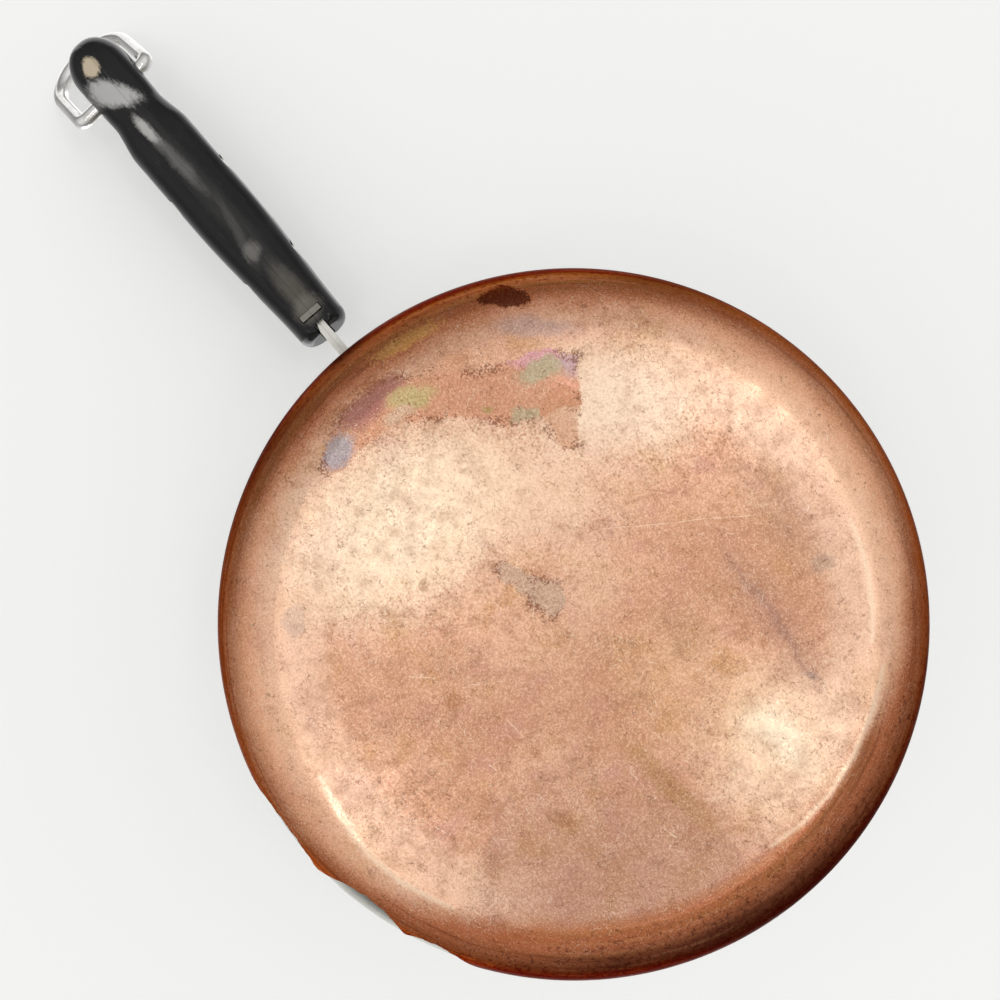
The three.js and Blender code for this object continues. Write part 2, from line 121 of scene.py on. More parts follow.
# Grip, with its sections: place, half width, and heights above and below its middle line
HANDLE_HEIGHT = POT_HEIGHT - 15 * MM
GRIP_START = WALL_RADIUS + 14.2 * MM
GRIP_END = GRIP_START + 82 * MM
GRIP_POWER = 2 / 2.3
GRIP_END_ROUND = 2.4 * MM
GRIP_END_FLAT = 0.62
GRIP_BOTTOM = 6.8 * MM
HEAD_LENGTH = 7.6 * MM
HEAD_PLACE = GRIP_END - HEAD_LENGTH
HEAD_HALF_WIDTH = 6.6 * MM
GRIP_SECTIONS = (
    (GRIP_START, 5.9 * MM, 6.2 * MM, GRIP_BOTTOM),
    (GRIP_START + 35 * MM, 7.5 * MM, 7.2 * MM, GRIP_BOTTOM),
    (GRIP_START + 55 * MM, 7.5 * MM, 7.2 * MM, GRIP_BOTTOM),
    (GRIP_END - 18.5 * MM, 6.3 * MM, 6.2 * MM, 5.9 * MM),
    (HEAD_PLACE, HEAD_HALF_WIDTH, 6.6 * MM, 8.2 * MM),
)
SEAM_LINE = 0.03 * MM
SEAM_HALF_WIDTH = 0.25 * MM
SEAM_DEPTH = 0.1 * MM
CHANNEL_START = GRIP_START - 1 * MM
CHANNEL_END = GRIP_START + 61 * MM
CHANNEL_WIDE_HALF = 2.9 * MM
CHANNEL_NARROW_HALF = 1.3 * MM
CHANNEL_DEPTH = 1 * MM
CHANNEL_EDGE = 2.4 * MM
CHIP_PLACE = Vector((150.1, -1.3)) * MM
CHIP_RADIUS = 2.2 * MM
CHIP_DEPTH = 0.3 * MM
CHIP_STEEPNESS = 2.4

# Brackets
BRACKET = 1.1 * MM
WELD_GAP = 0.2 * MM
BEND_RADIUS = 1.8 * MM
EAR_HALF_TURN = 13 * DEGREE
EAR_TOP = 7 * MM
EAR_BOTTOM = 11 * MM
EAR_RUN = 3 * MM
WELD_PLACES = ((8.3 * DEGREE, 3 * MM), (8.3 * DEGREE, -6.5 * MM))
WELD_DENT_RADIUS = 4 * MM
WELD_DENT_DEPTH = 0.22 * MM
TONGUE_GAP = 0.2 * MM
TONGUE_OUTER = TONGUE_GAP / 2 + BRACKET
TONGUE_HALF_HEIGHT = 5 * MM
TONGUE_TIP_ROUND = 3 * MM
TONGUE_END = GRIP_START + 50 * MM
LUG_PLACE = GRIP_START + 4.4 * MM
LUG_HALF_LENGTH = 0.65 * MM
LUG_REACH = 2.5 * MM
LUG_DROP = 1.3 * MM
LUG_RISE = 1.2 * MM
MOUTH_LENGTH = 1.9 * MM
CLEARANCE = 0.2 * MM
STRAP_EDGE = 0.15 * MM

# Screws and sleeve nuts
SCREW_PLACES = {"front": GRIP_START + 18 * MM, "rear": GRIP_START + 42 * MM}
SHANK_RADIUS = 1.5 * MM
SHANK_LEAD = 0.4 * MM
SLEEVE_RADIUS = 2.3 * MM
THREAD_CLEARANCE = 0.1 * MM
SCREW_HEAD_RADIUS = 2.9 * MM
SCREW_HEAD_HEIGHT = 1.5 * MM
SCREW_HEAD_RIM = 0.7 * MM
SCREW_HEAD_EDGE = 0.15 * MM
SCREW_HEAD_SINK = 0.1 * MM
HEAD_GAP = 0.06 * MM
SCREW_LAP = 3 * MM
SLOT_WIDTH = 0.8 * MM
SLOT_DEPTH = 0.7 * MM

# Hanging ring
RING_PIVOT = GRIP_END - 11.7 * MM
RING_WIRE = 1.55 * MM
RING_HALF_WIDTH = HEAD_HALF_WIDTH + 1.7 * MM + RING_WIRE
RING_LENGTH = 23 * MM
RING_BEND = 1.8 * MM
RING_PIN = 4.6 * MM
RING_PIN_FACE = 0.75
RING_BORE = RING_WIRE + 0.75 * MM
RING_TILT = 36 * DEGREE
RING_SKEW = 4 * DEGREE
RING_SHIFT = 1 * MM

# Cutters reach this far past what they cut, or from the middle line right out of it
PAST = 1 * MM
PAST_GRIP_START = 2 * MM
BEYOND_GRIP = 12 * MM
BEYOND_TONGUES = 5 * MM

# Fineness of the rounds
SHELL_SEGMENTS = 288
FLAT_STEPS = 8
WALL_STEPS = 40
CORNER_STEPS = 24
ROLL_STEPS = 36
SKIN_SEGMENTS = 720
SKIN_FLAT_STEPS = 14
DISH_STEPS = 12
SKIN_STEPS = 60
SKIN_CROWDING = 1.4
GRIP_STEPS = 110
GRIP_END_STEPS = 12
HEAD_STEPS = 28
GRIP_SIDES = 120
GRIP_CROWDING = 1.15
EAR_STEPS = 20
BEND_STEPS = 14
EAR_RUN_STEPS = 12
TIP_STEPS = 10
BAR_SIDES = 48
BALL_STEPS = 24
SCREW_SIDES = 56
DOME_STEPS = 14
RING_SIDES = 28
PIN_STEPS = 10
ARM_STEPS = 12
BOW_STEPS = 30

# Points nearer than this are one, and edges that turn by more degrees than these stay sharp
MERGE_WITHIN = 1e-7
SHARP = 40
GRIP_SHARP = 50
BRACKET_SHARP = 30
SCREW_SHARP = 35

# Camera and stage
CAMERA_PLACE = Vector((25.1, 4.5, -168)) * MM
CAMERA_TURN = 40.8
LENS = 36
SENSOR = 36
PALE = (0.8, 0.8, 0.79, 1)
TABLE_GLOW = (0.27, 0.27, 0.265, 1)
BACKGROUND = (0.82, 0.82, 0.81, 1)
TABLE_CORNERS = ((-0.3, -0.3), (0.35, 0.3))
TABLE_HEIGHT = POT_HEIGHT + 0.6 * MM
FLOOR_CORNERS = ((-3, -3), (3, 3))
FLOOR_HEIGHT = -0.5 * MM

# Grey of the studio from straight down (0) to straight up (1), and its brighter sides
STUDIO_GREYS = ((0, 0.8), (0.12, 0.78), (0.28, 0.66), (0.44, 0.38), (0.55, 0.34), (0.75, 0.56), (1, 0.75))
BRIGHT_SIDES = way_at(100)
DIM_SIDES = way_at(190)
SIDE_CONTRAST = 0.35

# Lamps: place, what each aims at, width and watts
UNDERSIDE = (0.02, 0, 0.02)
POT = (0.03, 0, 0.03)
LAMPS = {
    "lamp_handle": ((0.066, -0.07, -0.7), UNDERSIDE, 0.08, 0.12),
    "lamp_left": ((-0.094, -0.276, -0.7), UNDERSIDE, 0.08, 0.16),
    "lamp_right": ((-0.291, 0.061, -0.7), UNDERSIDE, 0.08, 0.12),
    "lamp_top": ((-0.05, 0.24, -0.7), UNDERSIDE, 0.08, 0.18),
    "upper_key": ((-0.5, -0.6, 0.9), POT, 1.3, 6),
    "upper_fill": ((0.8, 0.3, 0.6), POT, 1.1, 3),
}


def ease(share):
    share = min(max(share, 0), 1)
    return share * share * (3 - 2 * share)


def lerp(a, b, share):
    return a + (b - a) * share


def evenly(a, b, steps):
    """Values at even steps from a to b."""
    return [lerp(a, b, i / steps) for i in range(steps + 1)]


def along(x, stations):
    """A value along x that eases from each station to the next."""
    value = stations[0][1]
    for (x0, _), (x1, after) in zip(stations, stations[1:]):
        value = lerp(value, after, ease((x - x0) / (x1 - x0)))
    return value


def arc(cx, cy, radius, start, end, steps):
    turns = evenly(start, end, steps)
    return [Vector((cx + radius * math.cos(a), cy + radius * math.sin(a))) for a in turns]


def circle(sides):
    """Cosine and sine at each corner of a round."""
    turns = [2 * math.pi * i / sides for i in range(sides)]
    return [(math.cos(turn), math.sin(turn)) for turn in turns]


def beside(line, offset):
    """A line at an even distance from another."""
    moved = []
    for i, point in enumerate(line):
        run = (line[min(i + 1, len(line) - 1)] - line[max(i - 1, 0)]).normalized()
        moved.append(point + offset * Vector((run.y, -run.x)))
    return moved


def turn_between(a, b):
    return abs(math.atan2(math.sin(a - b), math.cos(a - b)))


# Meshes


def soften(mesh, sharp=SHARP):
    """Closes the mesh's doubled points, turns its faces outwards and smooths all but sharp edges."""
    work = bmesh.new()
    work.from_mesh(mesh)
    bmesh.ops.remove_doubles(work, verts=work.verts, dist=MERGE_WITHIN)
    bmesh.ops.recalc_face_normals(work, faces=work.faces)
    work.to_mesh(mesh)
    work.free()
    mesh.shade_smooth()
    mesh.set_sharp_from_angle(angle=sharp * DEGREE)
    return mesh


def mesh_of(name, points, faces, sharp=SHARP):
    mesh = bpy.data.meshes.new(name)
    mesh.from_pydata([tuple(point) for point in points], [], faces)
    return soften(mesh, sharp)


def loft(name, rows, sharp=SHARP, capped=False):
    """A skin over rows of points. Each row is a closed loop of as many points."""
    count = len(rows[0])
    last = count * (len(rows) - 1)
    faces = []
    for low in range(0, last, count):
        high = low + count
        for i in range(count):
            j = (i + 1) % count
            faces.append((low + i, low + j, high + j, high + i))
    if capped:
        faces += [tuple(range(count)), tuple(range(last, last + count))]
    return mesh_of(name, [point for row in rows for point in row], faces, sharp)


def revolved(name, rows, segments, place):
    """Turns rows of a profile round Z. The first and last rows lie on the axis."""

    def point(row, turn):
        radius, height = place(row, turn)
        return radius * math.cos(turn), radius * math.sin(turn), height

    turns = [2 * math.pi * i / segments for i in range(segments)]
    return loft(name, [[point(row, turn) for turn in turns] for row in range(rows)])


def ball_mesh(centre, radius):
    points = arc(0, 0, radius, -math.pi / 2, math.pi / 2, BALL_STEPS)
    ball = revolved("ball", len(points), BAR_SIDES, lambda row, turn: points[row])
    ball.transform(Matrix.Translation(centre))
    return ball


def prism(outline, place):
    """A flat outline drawn through between two ends. The place function puts a point at an end."""
    return loft("prism", [[place(point, end) for point in outline] for end in (0, 1)], capped=True)


def handle_box(low, high):
    """A box in the handle's own heights."""
    lift = Vector((0, 0, HANDLE_HEIGHT))
    xs, ys, zs = zip(Vector(low) + lift, Vector(high) + lift)
    corners = [(x, y, z) for x in xs for y in ys for z in zs]
    faces = [(0, 1, 3, 2), (4, 6, 7, 5), (0, 4, 5, 1), (2, 3, 7, 6), (0, 2, 6, 4), (1, 5, 7, 3)]
    return mesh_of("box", corners, faces)


def round_across(x, radius, y, sides):
    """Points round an axis that runs across the handle."""
    return [(x + radius * c, y, HANDLE_HEIGHT + radius * s) for c, s in circle(sides)]


def bar_mesh(x, radius, low, high):
    """A round bar across the handle."""
    return loft("bar", [round_across(x, radius, y, BAR_SIDES) for y in (low, high)], capped=True)


def add_object(name, data):
    made = bpy.data.objects.new(name, data)
    scene.collection.objects.link(made)
    return made


def final_mesh(made):
    """The mesh of an object with its modifiers or its text worked out. The object goes."""
    graph = bpy.context.evaluated_depsgraph_get()
    mesh = bpy.data.meshes.new_from_object(made.evaluated_get(graph))
    bpy.data.objects.remove(made)
    return mesh


def combine(mesh, steps, sharp=SHARP):
    """The mesh after boolean steps, each an operation and the mesh that it takes."""
    body = add_object("body", mesh)
    tools = []
    for operation, other in steps:
        tools.append(add_object("tool", other))
        step = body.modifiers.new("step", "BOOLEAN")
        step.operation = operation
        step.solver = "EXACT"
        step.object = tools[-1]
    result = final_mesh(body)
    for tool in tools:
        bpy.data.objects.remove(tool)
    return soften(result, sharp)


def cut(mesh, cutters, sharp=SHARP):
    """The mesh with each cutter taken away."""
    return combine(mesh, [("DIFFERENCE", cutter) for cutter in cutters], sharp)


def bevelled(made, width):
    """Rounds the sharp edges of a piece."""
    step = made.modifiers.new("edges", "BEVEL")
    step.width = width
    step.segments = 2
    step.limit_method = "ANGLE"
    step.angle_limit = SHARP * DEGREE
    step.harden_normals = False


def piece(name, mesh, material, body, node):
    """An object that stands for one CAD node and moves with its body."""
    made = add_object(name, mesh)
    mesh.materials.clear()
    mesh.materials.append(material)
    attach(made, body)
    if node:
        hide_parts(node)
    return made


# Node graphs


def colour(text):
    """A colour written as six hexadecimal digits, made linear."""
    parts = [int(text[i : i + 2], 16) / 255 for i in (0, 2, 4)]
    linear = [p / 12.92 if p <= 0.04045 else ((p + 0.055) / 1.055) ** 2.4 for p in parts]
    return (*linear, 1)


class Graph:
    """Builds the nodes of a material or a world. Most methods add nodes and give back an output.

    The tone is a material's colour so far. A colour may be given as six hexadecimal digits.
    """

    def __init__(self, owner, output="ShaderNodeOutputMaterial"):
        owner.use_nodes = True
        self.owner = owner
        self.tree = owner.node_tree
        self.tree.nodes.clear()
        self.output = self.tree.nodes.new(output)
        self.tone = None

    def put(self, socket, value):
        if isinstance(value, bpy.types.NodeSocket):
            self.tree.links.new(value, socket)
        else:
            socket.default_value = colour(value) if isinstance(value, str) else value

    def add(self, kind, inputs=(), **settings):
        node = self.tree.nodes.new(kind)
        for name, value in settings.items():
            setattr(node, name, value)
        for key, value in dict(inputs).items():
            self.put(node.inputs[key], value)
        return node

    def shader(self, kind, *inputs):
        return self.add(f"ShaderNode{kind}", enumerate(inputs)).outputs[0]

    def finish(self, shader):
        self.put(self.output.inputs["Surface"], shader)
        return self.owner

    def principled(self, **values):
        """Ends the material with a shader of its tone and of other values."""
        inputs = {"Base Color": self.tone}
        for name, value in values.items():
            inputs[name.replace("_", " ").title().replace("Ior", "IOR")] = value
        return self.finish(self.add("ShaderNodeBsdfPrincipled", inputs).outputs["BSDF"])

    # Places and directions

    def place(self):
        return self.add("ShaderNodeTexCoord").outputs["Object"]

    def millimetres(self):
        return self.vector("MULTIPLY", self.place(), (1000, 1000, 1000))

    def split(self, vector):
        return self.add("ShaderNodeSeparateXYZ", {0: vector}).outputs

    def level(self, place):
        """A place brought down to z = 0."""
        x, y, _ = self.split(place)
        return self.add("ShaderNodeCombineXYZ", {0: x, 1: y}).outputs[0]

    def vector(self, operation, a, b=(0, 0, 0)):
        node = self.add("ShaderNodeVectorMath", {0: a, 1: b}, operation=operation)
        gives_number = operation in ("LENGTH", "DISTANCE", "DOT_PRODUCT")
        return node.outputs["Value" if gives_number else "Vector"]

    def turned(self, vector, turn):
        return self.add("ShaderNodeMapping", {"Vector": vector, "Rotation": (0, 0, turn)}).outputs[0]

    def shaken(self, vector, scale, amount):
        """The place moved about by noise, so that the edges of patches are uneven."""
        cloud = self.noise(vector, scale, 5, output="Color")
        centred = self.vector("SUBTRACT", cloud, (0.5, 0.5, 0.5))
        return self.vector("ADD", vector, self.vector("MULTIPLY", centred, (amount, amount, amount)))

    def round_place(self, place, turns):
        """Coordinates whose noise runs in lines round the axis of the pot."""
        level = self.level(place)
        spread = self.vector("MULTIPLY", self.vector("NORMALIZE", level), (turns, turns, 0))
        run = self.plus(self.vector("LENGTH", level), self.split(place)[2])
        return self.vector("ADD", spread, self.add("ShaderNodeCombineXYZ", {2: run}).outputs[0])

    # Numbers

    def math(self, operation, *values):
        """Works from left to right where there are more than two values."""
        result = values[0]
        for value in values[1:]:
            result = self.add("ShaderNodeMath", {0: result, 1: value}, operation=operation).outputs[0]
        return result

    def plus(self, *values):
        return self.math("ADD", *values)

    def minus(self, *values):
        return self.math("SUBTRACT", *values)

    def times(self, *values):
        return self.math("MULTIPLY", *values)

    def most(self, *values):
        return self.math("MAXIMUM", *values)

    def apart(self, a, b=None):
        """How far two numbers are apart, or a number from nought."""
        return self.math("ABSOLUTE", a if b is None else self.minus(a, b), 0.0)

    def span(self, value, low, high, to_low=0.0, to_high=1.0):
        """Maps a value from one span to another with soft ends."""
        inputs = {"Value": value, "From Min": low, "From Max": high, "To Min": to_low, "To Max": to_high}
        return self.add("ShaderNodeMapRange", inputs, interpolation_type="SMOOTHSTEP").outputs["Result"]

    def noise(self, vector, scale, detail=4, rough=0.55, output="Fac"):
        inputs = {"Vector": vector, "Scale": scale, "Detail": detail, "Roughness": rough}
        return self.add("ShaderNodeTexNoise", inputs).outputs[output]

    def swing(self, value, amount):
        """Noise made to swing either way about nought."""
        return self.times(self.minus(value, 0.5), amount)

    def bump(self, height, distance, strength):
        inputs = {"Height": height, "Distance": distance, "Strength": strength}
        return self.add("ShaderNodeBump", inputs).outputs["Normal"]

    # Colours

    def mix(self, share, a, b):
        node = self.add("ShaderNodeMix", {0: share}, data_type="RGBA")
        self.put(node.inputs[6], a)
        self.put(node.inputs[7], b)
        return node.outputs[2]

    def lay(self, share, tint):
        """Lays a colour over the tone."""
        self.tone = self.mix(share, self.tone, tint)

    def wash(self, tint, value, low, high, strength, *gates):
        """Lays a colour over the tone where a value goes from low to high and the gates let it."""
        share = self.span(value, low, high, 0, strength)
        self.lay(self.times(share, *gates), tint)

    def brightness(self):
        return self.add("ShaderNodeRGBToBW", {0: self.tone}).outputs[0]

    # Patches and lines

    def blob(self, vector, centre, half, turn, soft, roughen):
        """1 inside an oval patch and 0 outside it, with a soft, rough edge."""
        near = self.turned(self.vector("SUBTRACT", vector, centre), -turn)
        reach = self.vector("LENGTH", self.vector("DIVIDE", near, (*half, 1e3)))
        return self.span(self.plus(reach, roughen), 1 + soft, 1 - soft)

    def patches(self, place, base, areas, roughen):
        """Lays each area of a table over a colour."""
        for x, y, half, wide, turn, soft, strength, tint in areas:
            mask = self.blob(place, (x, y, 0), (half, wide), turn * DEGREE, soft, roughen)
            base = self.mix(self.times(mask, strength), base, tint)
        return base

    def strokes(self, vector, turn, scale, stretch, least):
        """1 on short thin strokes that run one way, 0 between them."""
        lines = self.vector("MULTIPLY", self.turned(vector, turn), (scale / stretch, scale, scale))
        return self.span(self.noise(lines, 1, 1, 0.4), least, least + 0.06)

    def outside_band(self, vector, points):
        """How far a place lies outside a band. Each point of its middle has a place and a half width."""
        offs = []
        for start, end in zip(points, points[1:]):
            run = Vector(end[:2]) - Vector(start[:2])
            near = self.vector("SUBTRACT", vector, (*start[:2], 0))
            part = self.vector("DOT_PRODUCT", near, (*(run / run.length_squared), 0))
            share = self.add("ShaderNodeClamp", {"Value": part}).outputs[0]
            foot = self.add("ShaderNodeVectorMath", {0: (*run, 0), "Scale": share}, operation="SCALE")
            off = self.vector("DISTANCE", near, foot.outputs[0])
            half = self.add("ShaderNodeMapRange", {"Value": share, "To Min": start[2], "To Max": end[2]})
            offs.append(self.minus(off, half.outputs[0]))
        return self.math("MINIMUM", *offs)


def new_material(name):
    return Graph(bpy.data.materials.new(name))


# Copper: the tables below are in millimetres, seen from above

# Stains: place, half length, half width, turn in degrees, softness, strength, colour
STAINS = (
    (-10.2, 27.3, 16, 10.1, 171, 0.5, 0.45, "c08a68"),
    (-19.5, 26.8, 13, 3.4, 186, 0.7, 0.4, "ac8170"),
    (-19.5, 26.5, 12, 0.7, 186, 0.7, 0.45, "96736a"),
    (-31, 25.4, 1.6, 0.8, 150, 0.6, 0.55, "8f7a78"),
    (-6, 39, 11, 4, 190, 0.6, 0.4, "a98468"),
    (-11, 13.5, 5, 3, 150, 0.6, 0.4, "a9805a"),
    (5, -26.2, 11.8, 10.1, 131, 0.5, 0.45, "bc8a6c"),
    (-8, -8, 11, 10, 131, 0.6, 0.35, "bd8866"),
    (-17.6, 7.2, 12, 9, 161, 0.6, 0.35, "cc9a68"),
    (14, -37, 8, 10, 291, 0.6, 0.45, "c8977a"),
    (-30.6, -5, 11.5, 1.7, 175, 0.45, 0.55, "b58655"),
    (4.1, -23.4, 1.7, 1.2, 140, 0.2, 0.7, "ac7650"),
    (-22.2, -23, 2.6, 1.4, 150, 0.3, 0.6, "a8734f"),
    (-12.5, -31, 3.4, 2.2, 120, 0.4, 0.4, "b27e5e"),
    (22.6, -13.8, 1.3, 0.8, 40, 0.25, 0.6, "a8805f"),
    (43.5, 27.5, 6.8, 1.8, 130, 0.4, 0.65, "b99a94"),
    (32.3, -35.2, 1.7, 2.4, 131, 0.2, 0.7, "d2b29e"),
    (-18.5, 38.3, 2.2, 1.4, 110, 0.3, 0.6, "b99b8a"),
)

# Colours inside the large stain by the handle, given in the same way
STAIN_COLOURS = (
    (53, -3, 7, 3.6, 96, 0.35, 0.9, "a86d68"),
    (49, -11.2, 2.9, 2.1, 101, 0.4, 0.95, "aaa2a8"),
    (52.6, 2.6, 3.4, 1.8, 120, 0.4, 0.6, "b0736a"),
    (48.2, 4.4, 4, 2, 112, 0.35, 0.9, "bfb078"),
    (46.6, 0.6, 3, 1.3, 100, 0.5, 0.6, "cbb79c"),
    (38.4, 25.2, 5.6, 1.7, 128, 0.4, 0.9, "d9a0a6"),
    (36.8, 23.8, 4, 1.6, 111, 0.35, 0.9, "b6ac8c"),
    (34.6, 29, 2.4, 2.2, 131, 0.4, 0.8, "c3a6ab"),
    (32.2, 25, 2.4, 2.2, 131, 0.5, 0.8, "f2ae90"),
    (32.8, 17.4, 2.5, 1.6, 141, 0.25, 0.9, "b3a585"),
    (38.4, 13.1, 1.1, 0.8, 131, 0.3, 0.8, "a89058"),
)

# Painted highlights on the base, and an amber patch on the corner, given in the same way
HIGHLIGHT_AREAS = (
    (33.5, -11, 20, 13, 100, 0.6, 0.75, "f7e2c4"),
    (22, 9, 13, 9, 131, 0.6, 0.6, "f5d4b6"),
    (25, 30, 9, 14, 40, 0.6, 0.85, "f9dfc4"),
    (-37, 14, 12, 12, 161, 0.6, 0.8, "f7d5b4"),
    (-35, 14.2, 6.5, 3.2, 165, 0.7, 0.6, "fff0d2"),
    (5, 6, 8, 6, 40, 0.6, 0.4, "f0c8a8"),
    (8, 46, 6, 12, 80, 0.6, 0.5, "f2caae"),
)
AMBER_PATCH = ((56.0, 10.0, 6.0, 1.3, 101, 0.35, 0.85, "e2a55c"),)

# Bands along the middle of a stain: place and half width at each point
STAIN_BAND = (
    (48.6, -12, 2.2),
    (50.6, -5.4, 3),
    (49.4, 1.5, 4.4),
    (45, 8.7, 3.4),
    (40.7, 13.9, 4),
    (37, 18.4, 5.2),
    (35.2, 23.2, 4.8),
    (31.9, 27.2, 4.2),
)
STAIN_TAIL = ((30.5, 23.0, 3.4), (25.4, 19.6, 1.8))
GREY_BLOT = ((15.2, -3.3, 1.7), (11.6, -1.6, 1.6), (7.4, 0.2, 3.2))
DRIP = ((53.2, 24.6, 0.8), (51.2, 27.4, 2.0), (48.6, 29.6, 1.4))

# The large stain ends at a straight edge that faces this way, so far from the axis
STAIN_END_WAY = (-0.654, 0.757, 0)
STAIN_END = 0.1

# The way in which the corner is most tarnished and its rim painted darkest as painted shade
TARNISH_AND_SHADE_WAY = way_at(15)

# The way across which the edge of the base gets painted highlights, in a narrow ring and a wide one
HIGHLIGHT_EDGE_WAY = way_at(106)
HIGHLIGHT_RING = 52.5
WIDE_HIGHLIGHT_RING = 46.5

# A wedge of the base painted duller as a painted dark reflection, with straight sides
SHADE_WEDGE_WAY = way_at(-145.7)
SHADE_WEDGE_HALF_TURN = 29.5 * DEGREE

# Painted highlight lines along the edge of the base, where the copper is also a little glossier: place and
# half width at each point
HIGHLIGHT_LINES = (
    ((9.5, -48.9, 0), (2.6, -50.2, 0.6), (-1.5, -50.9, 0.4)),
    ((-1.5, -51, 0.2), (-5.9, -51.1, 0.25), (-12.4, -50.1, 0.25), (-17.8, -48.1, 0.2), (-21.5, -46.4, 0)),
    ((-38.2, 35, 0), (-42.6, 28.8, 0.2), (-46.2, 21.4, 0.25), (-48.4, 14.2, 0.25), (-49.2, 7.6, 0.2)),
    ((-49.2, 7.6, 0.2), (-48.7, 1.1, 0)),
    ((-15.9, 46.8, 0), (-20.4, 45.4, 0.15), (-24.6, 43.3, 0.2), (-29.4, 40.2, 0.2), (-33.6, 36.4, 0)),
)

# Scratches: turn, fineness and length of each kind of short one, ends of each long one
SCRATCH_FAMILIES = ((0.9, 5, 14), (-0.4, 5, 24), (2.3, 4, 12), (1.5, 6, 30), (-1.1, 5, 12), (0.2, 4, 20))
SCRATCH_LEAST = 0.705
LONG_SCRATCHES = (
    (10.4, 14, -6.2, 37.4),
    (53.6, -10, 50.3, -4.8),
    (12.6, -26.5, 9.6, -23.6),
    (-3.6, -18.8, -7.7, -18.5),
    (-15.2, 28.8, -16.6, 26.4),
)
LONG_SCRATCH_HALF_WIDTH = 0.02


def copper_tone(graph, place, level, jag):
    """The clean copper: clouded, with painted highlights in patches and in rings near the edge of the base,
    and a painted dark reflection in a wedge.
    """
    cloud = graph.noise(place, 0.05, 6, 0.62)
    hue = graph.noise(place, 0.11, 5, 0.65)
    graph.tone = graph.mix(graph.span(cloud, 0.36, 0.64), "d49e80", "e6b597")
    graph.wash("cb9868", hue, 0.52, 0.66, 0.7)
    graph.wash("d09a8a", hue, 0.48, 0.34, 0.7)
    # Painted highlights laid over the tone in patches
    graph.tone = graph.patches(graph.shaken(level, 0.12, 7), graph.tone, HIGHLIGHT_AREAS, jag)
    radius = graph.vector("LENGTH", level)
    way = graph.vector("NORMALIZE", graph.shaken(level, 0.5, 0.8))
    # Painted shade: a dark reflection laid over a wedge of the base
    aim = graph.vector("DOT_PRODUCT", way, SHADE_WEDGE_WAY)
    edge = math.cos(SHADE_WEDGE_HALF_TURN)
    shade_wedge = graph.times(graph.span(aim, edge - 0.01, edge + 0.01), graph.span(radius, 22, 40))
    graph.lay(graph.times(shade_wedge, 0.4), "b38470")
    # Painted highlights in a narrow and a wide ring near the edge of the base, on the two sides across that
    # way
    across = graph.vector("DOT_PRODUCT", way, HIGHLIGHT_EDGE_WAY)
    ring = graph.span(graph.apart(radius, HIGHLIGHT_RING), 5.5, 1.5)
    sides = graph.span(graph.apart(across), 0.6, 0.9)
    graph.lay(graph.times(ring, sides, graph.span(across, -0.5, 0.5, 0.5, 0.75)), "fdcba8")
    ring = graph.span(graph.apart(radius, WIDE_HIGHLIGHT_RING), 6.0, 2.0)
    sides = graph.span(graph.apart(across), 0.4, 0.85)
    graph.lay(graph.times(ring, sides, 0.45), "f8d4b8")


def lay_edged(graph, off, inside, strength):
    """Lays a stain over the tone, with dark flecks along its edge. Off is the distance outside it."""
    graph.wash(inside, off, 0.25, -0.25, strength)
    place = graph.millimetres()
    speck = graph.noise(place, 2.4, 3, 0.7)
    here = graph.span(graph.noise(place, 0.16, 3), 0.46, 0.62, 0, 0.14)
    rim = graph.span(graph.apart(off), 1.5, 0.0, 0, 0.1)
    near = graph.span(graph.apart(off), 1.5, 0.5)
    graph.wash("784630", graph.plus(speck, here, rim), 0.68, 0.74, 0.75, near)


def copper_stains(graph, level, ragged, jag):
    stirred = graph.shaken(graph.shaken(level, 0.3, 2.2), 0.14, 5)
    graph.tone = graph.patches(stirred, graph.tone, STAINS, jag)
    stained = graph.patches(stirred, "cf9576", STAIN_COLOURS, jag)
    end = graph.vector("DOT_PRODUCT", graph.shaken(level, 0.25, 3), STAIN_END_WAY)
    end = graph.minus(end, STAIN_END)
    band = graph.most(graph.outside_band(stirred, STAIN_BAND), end)
    lay_edged(graph, graph.plus(band, ragged), stained, 0.95)
    tail = graph.most(graph.outside_band(stirred, STAIN_TAIL), end)
    lay_edged(graph, graph.plus(tail, ragged), "c48a66", 0.6)
    blot = graph.plus(graph.outside_band(stirred, GREY_BLOT), graph.times(ragged, 0.7))
    lay_edged(graph, blot, "c3a48e", 0.8)


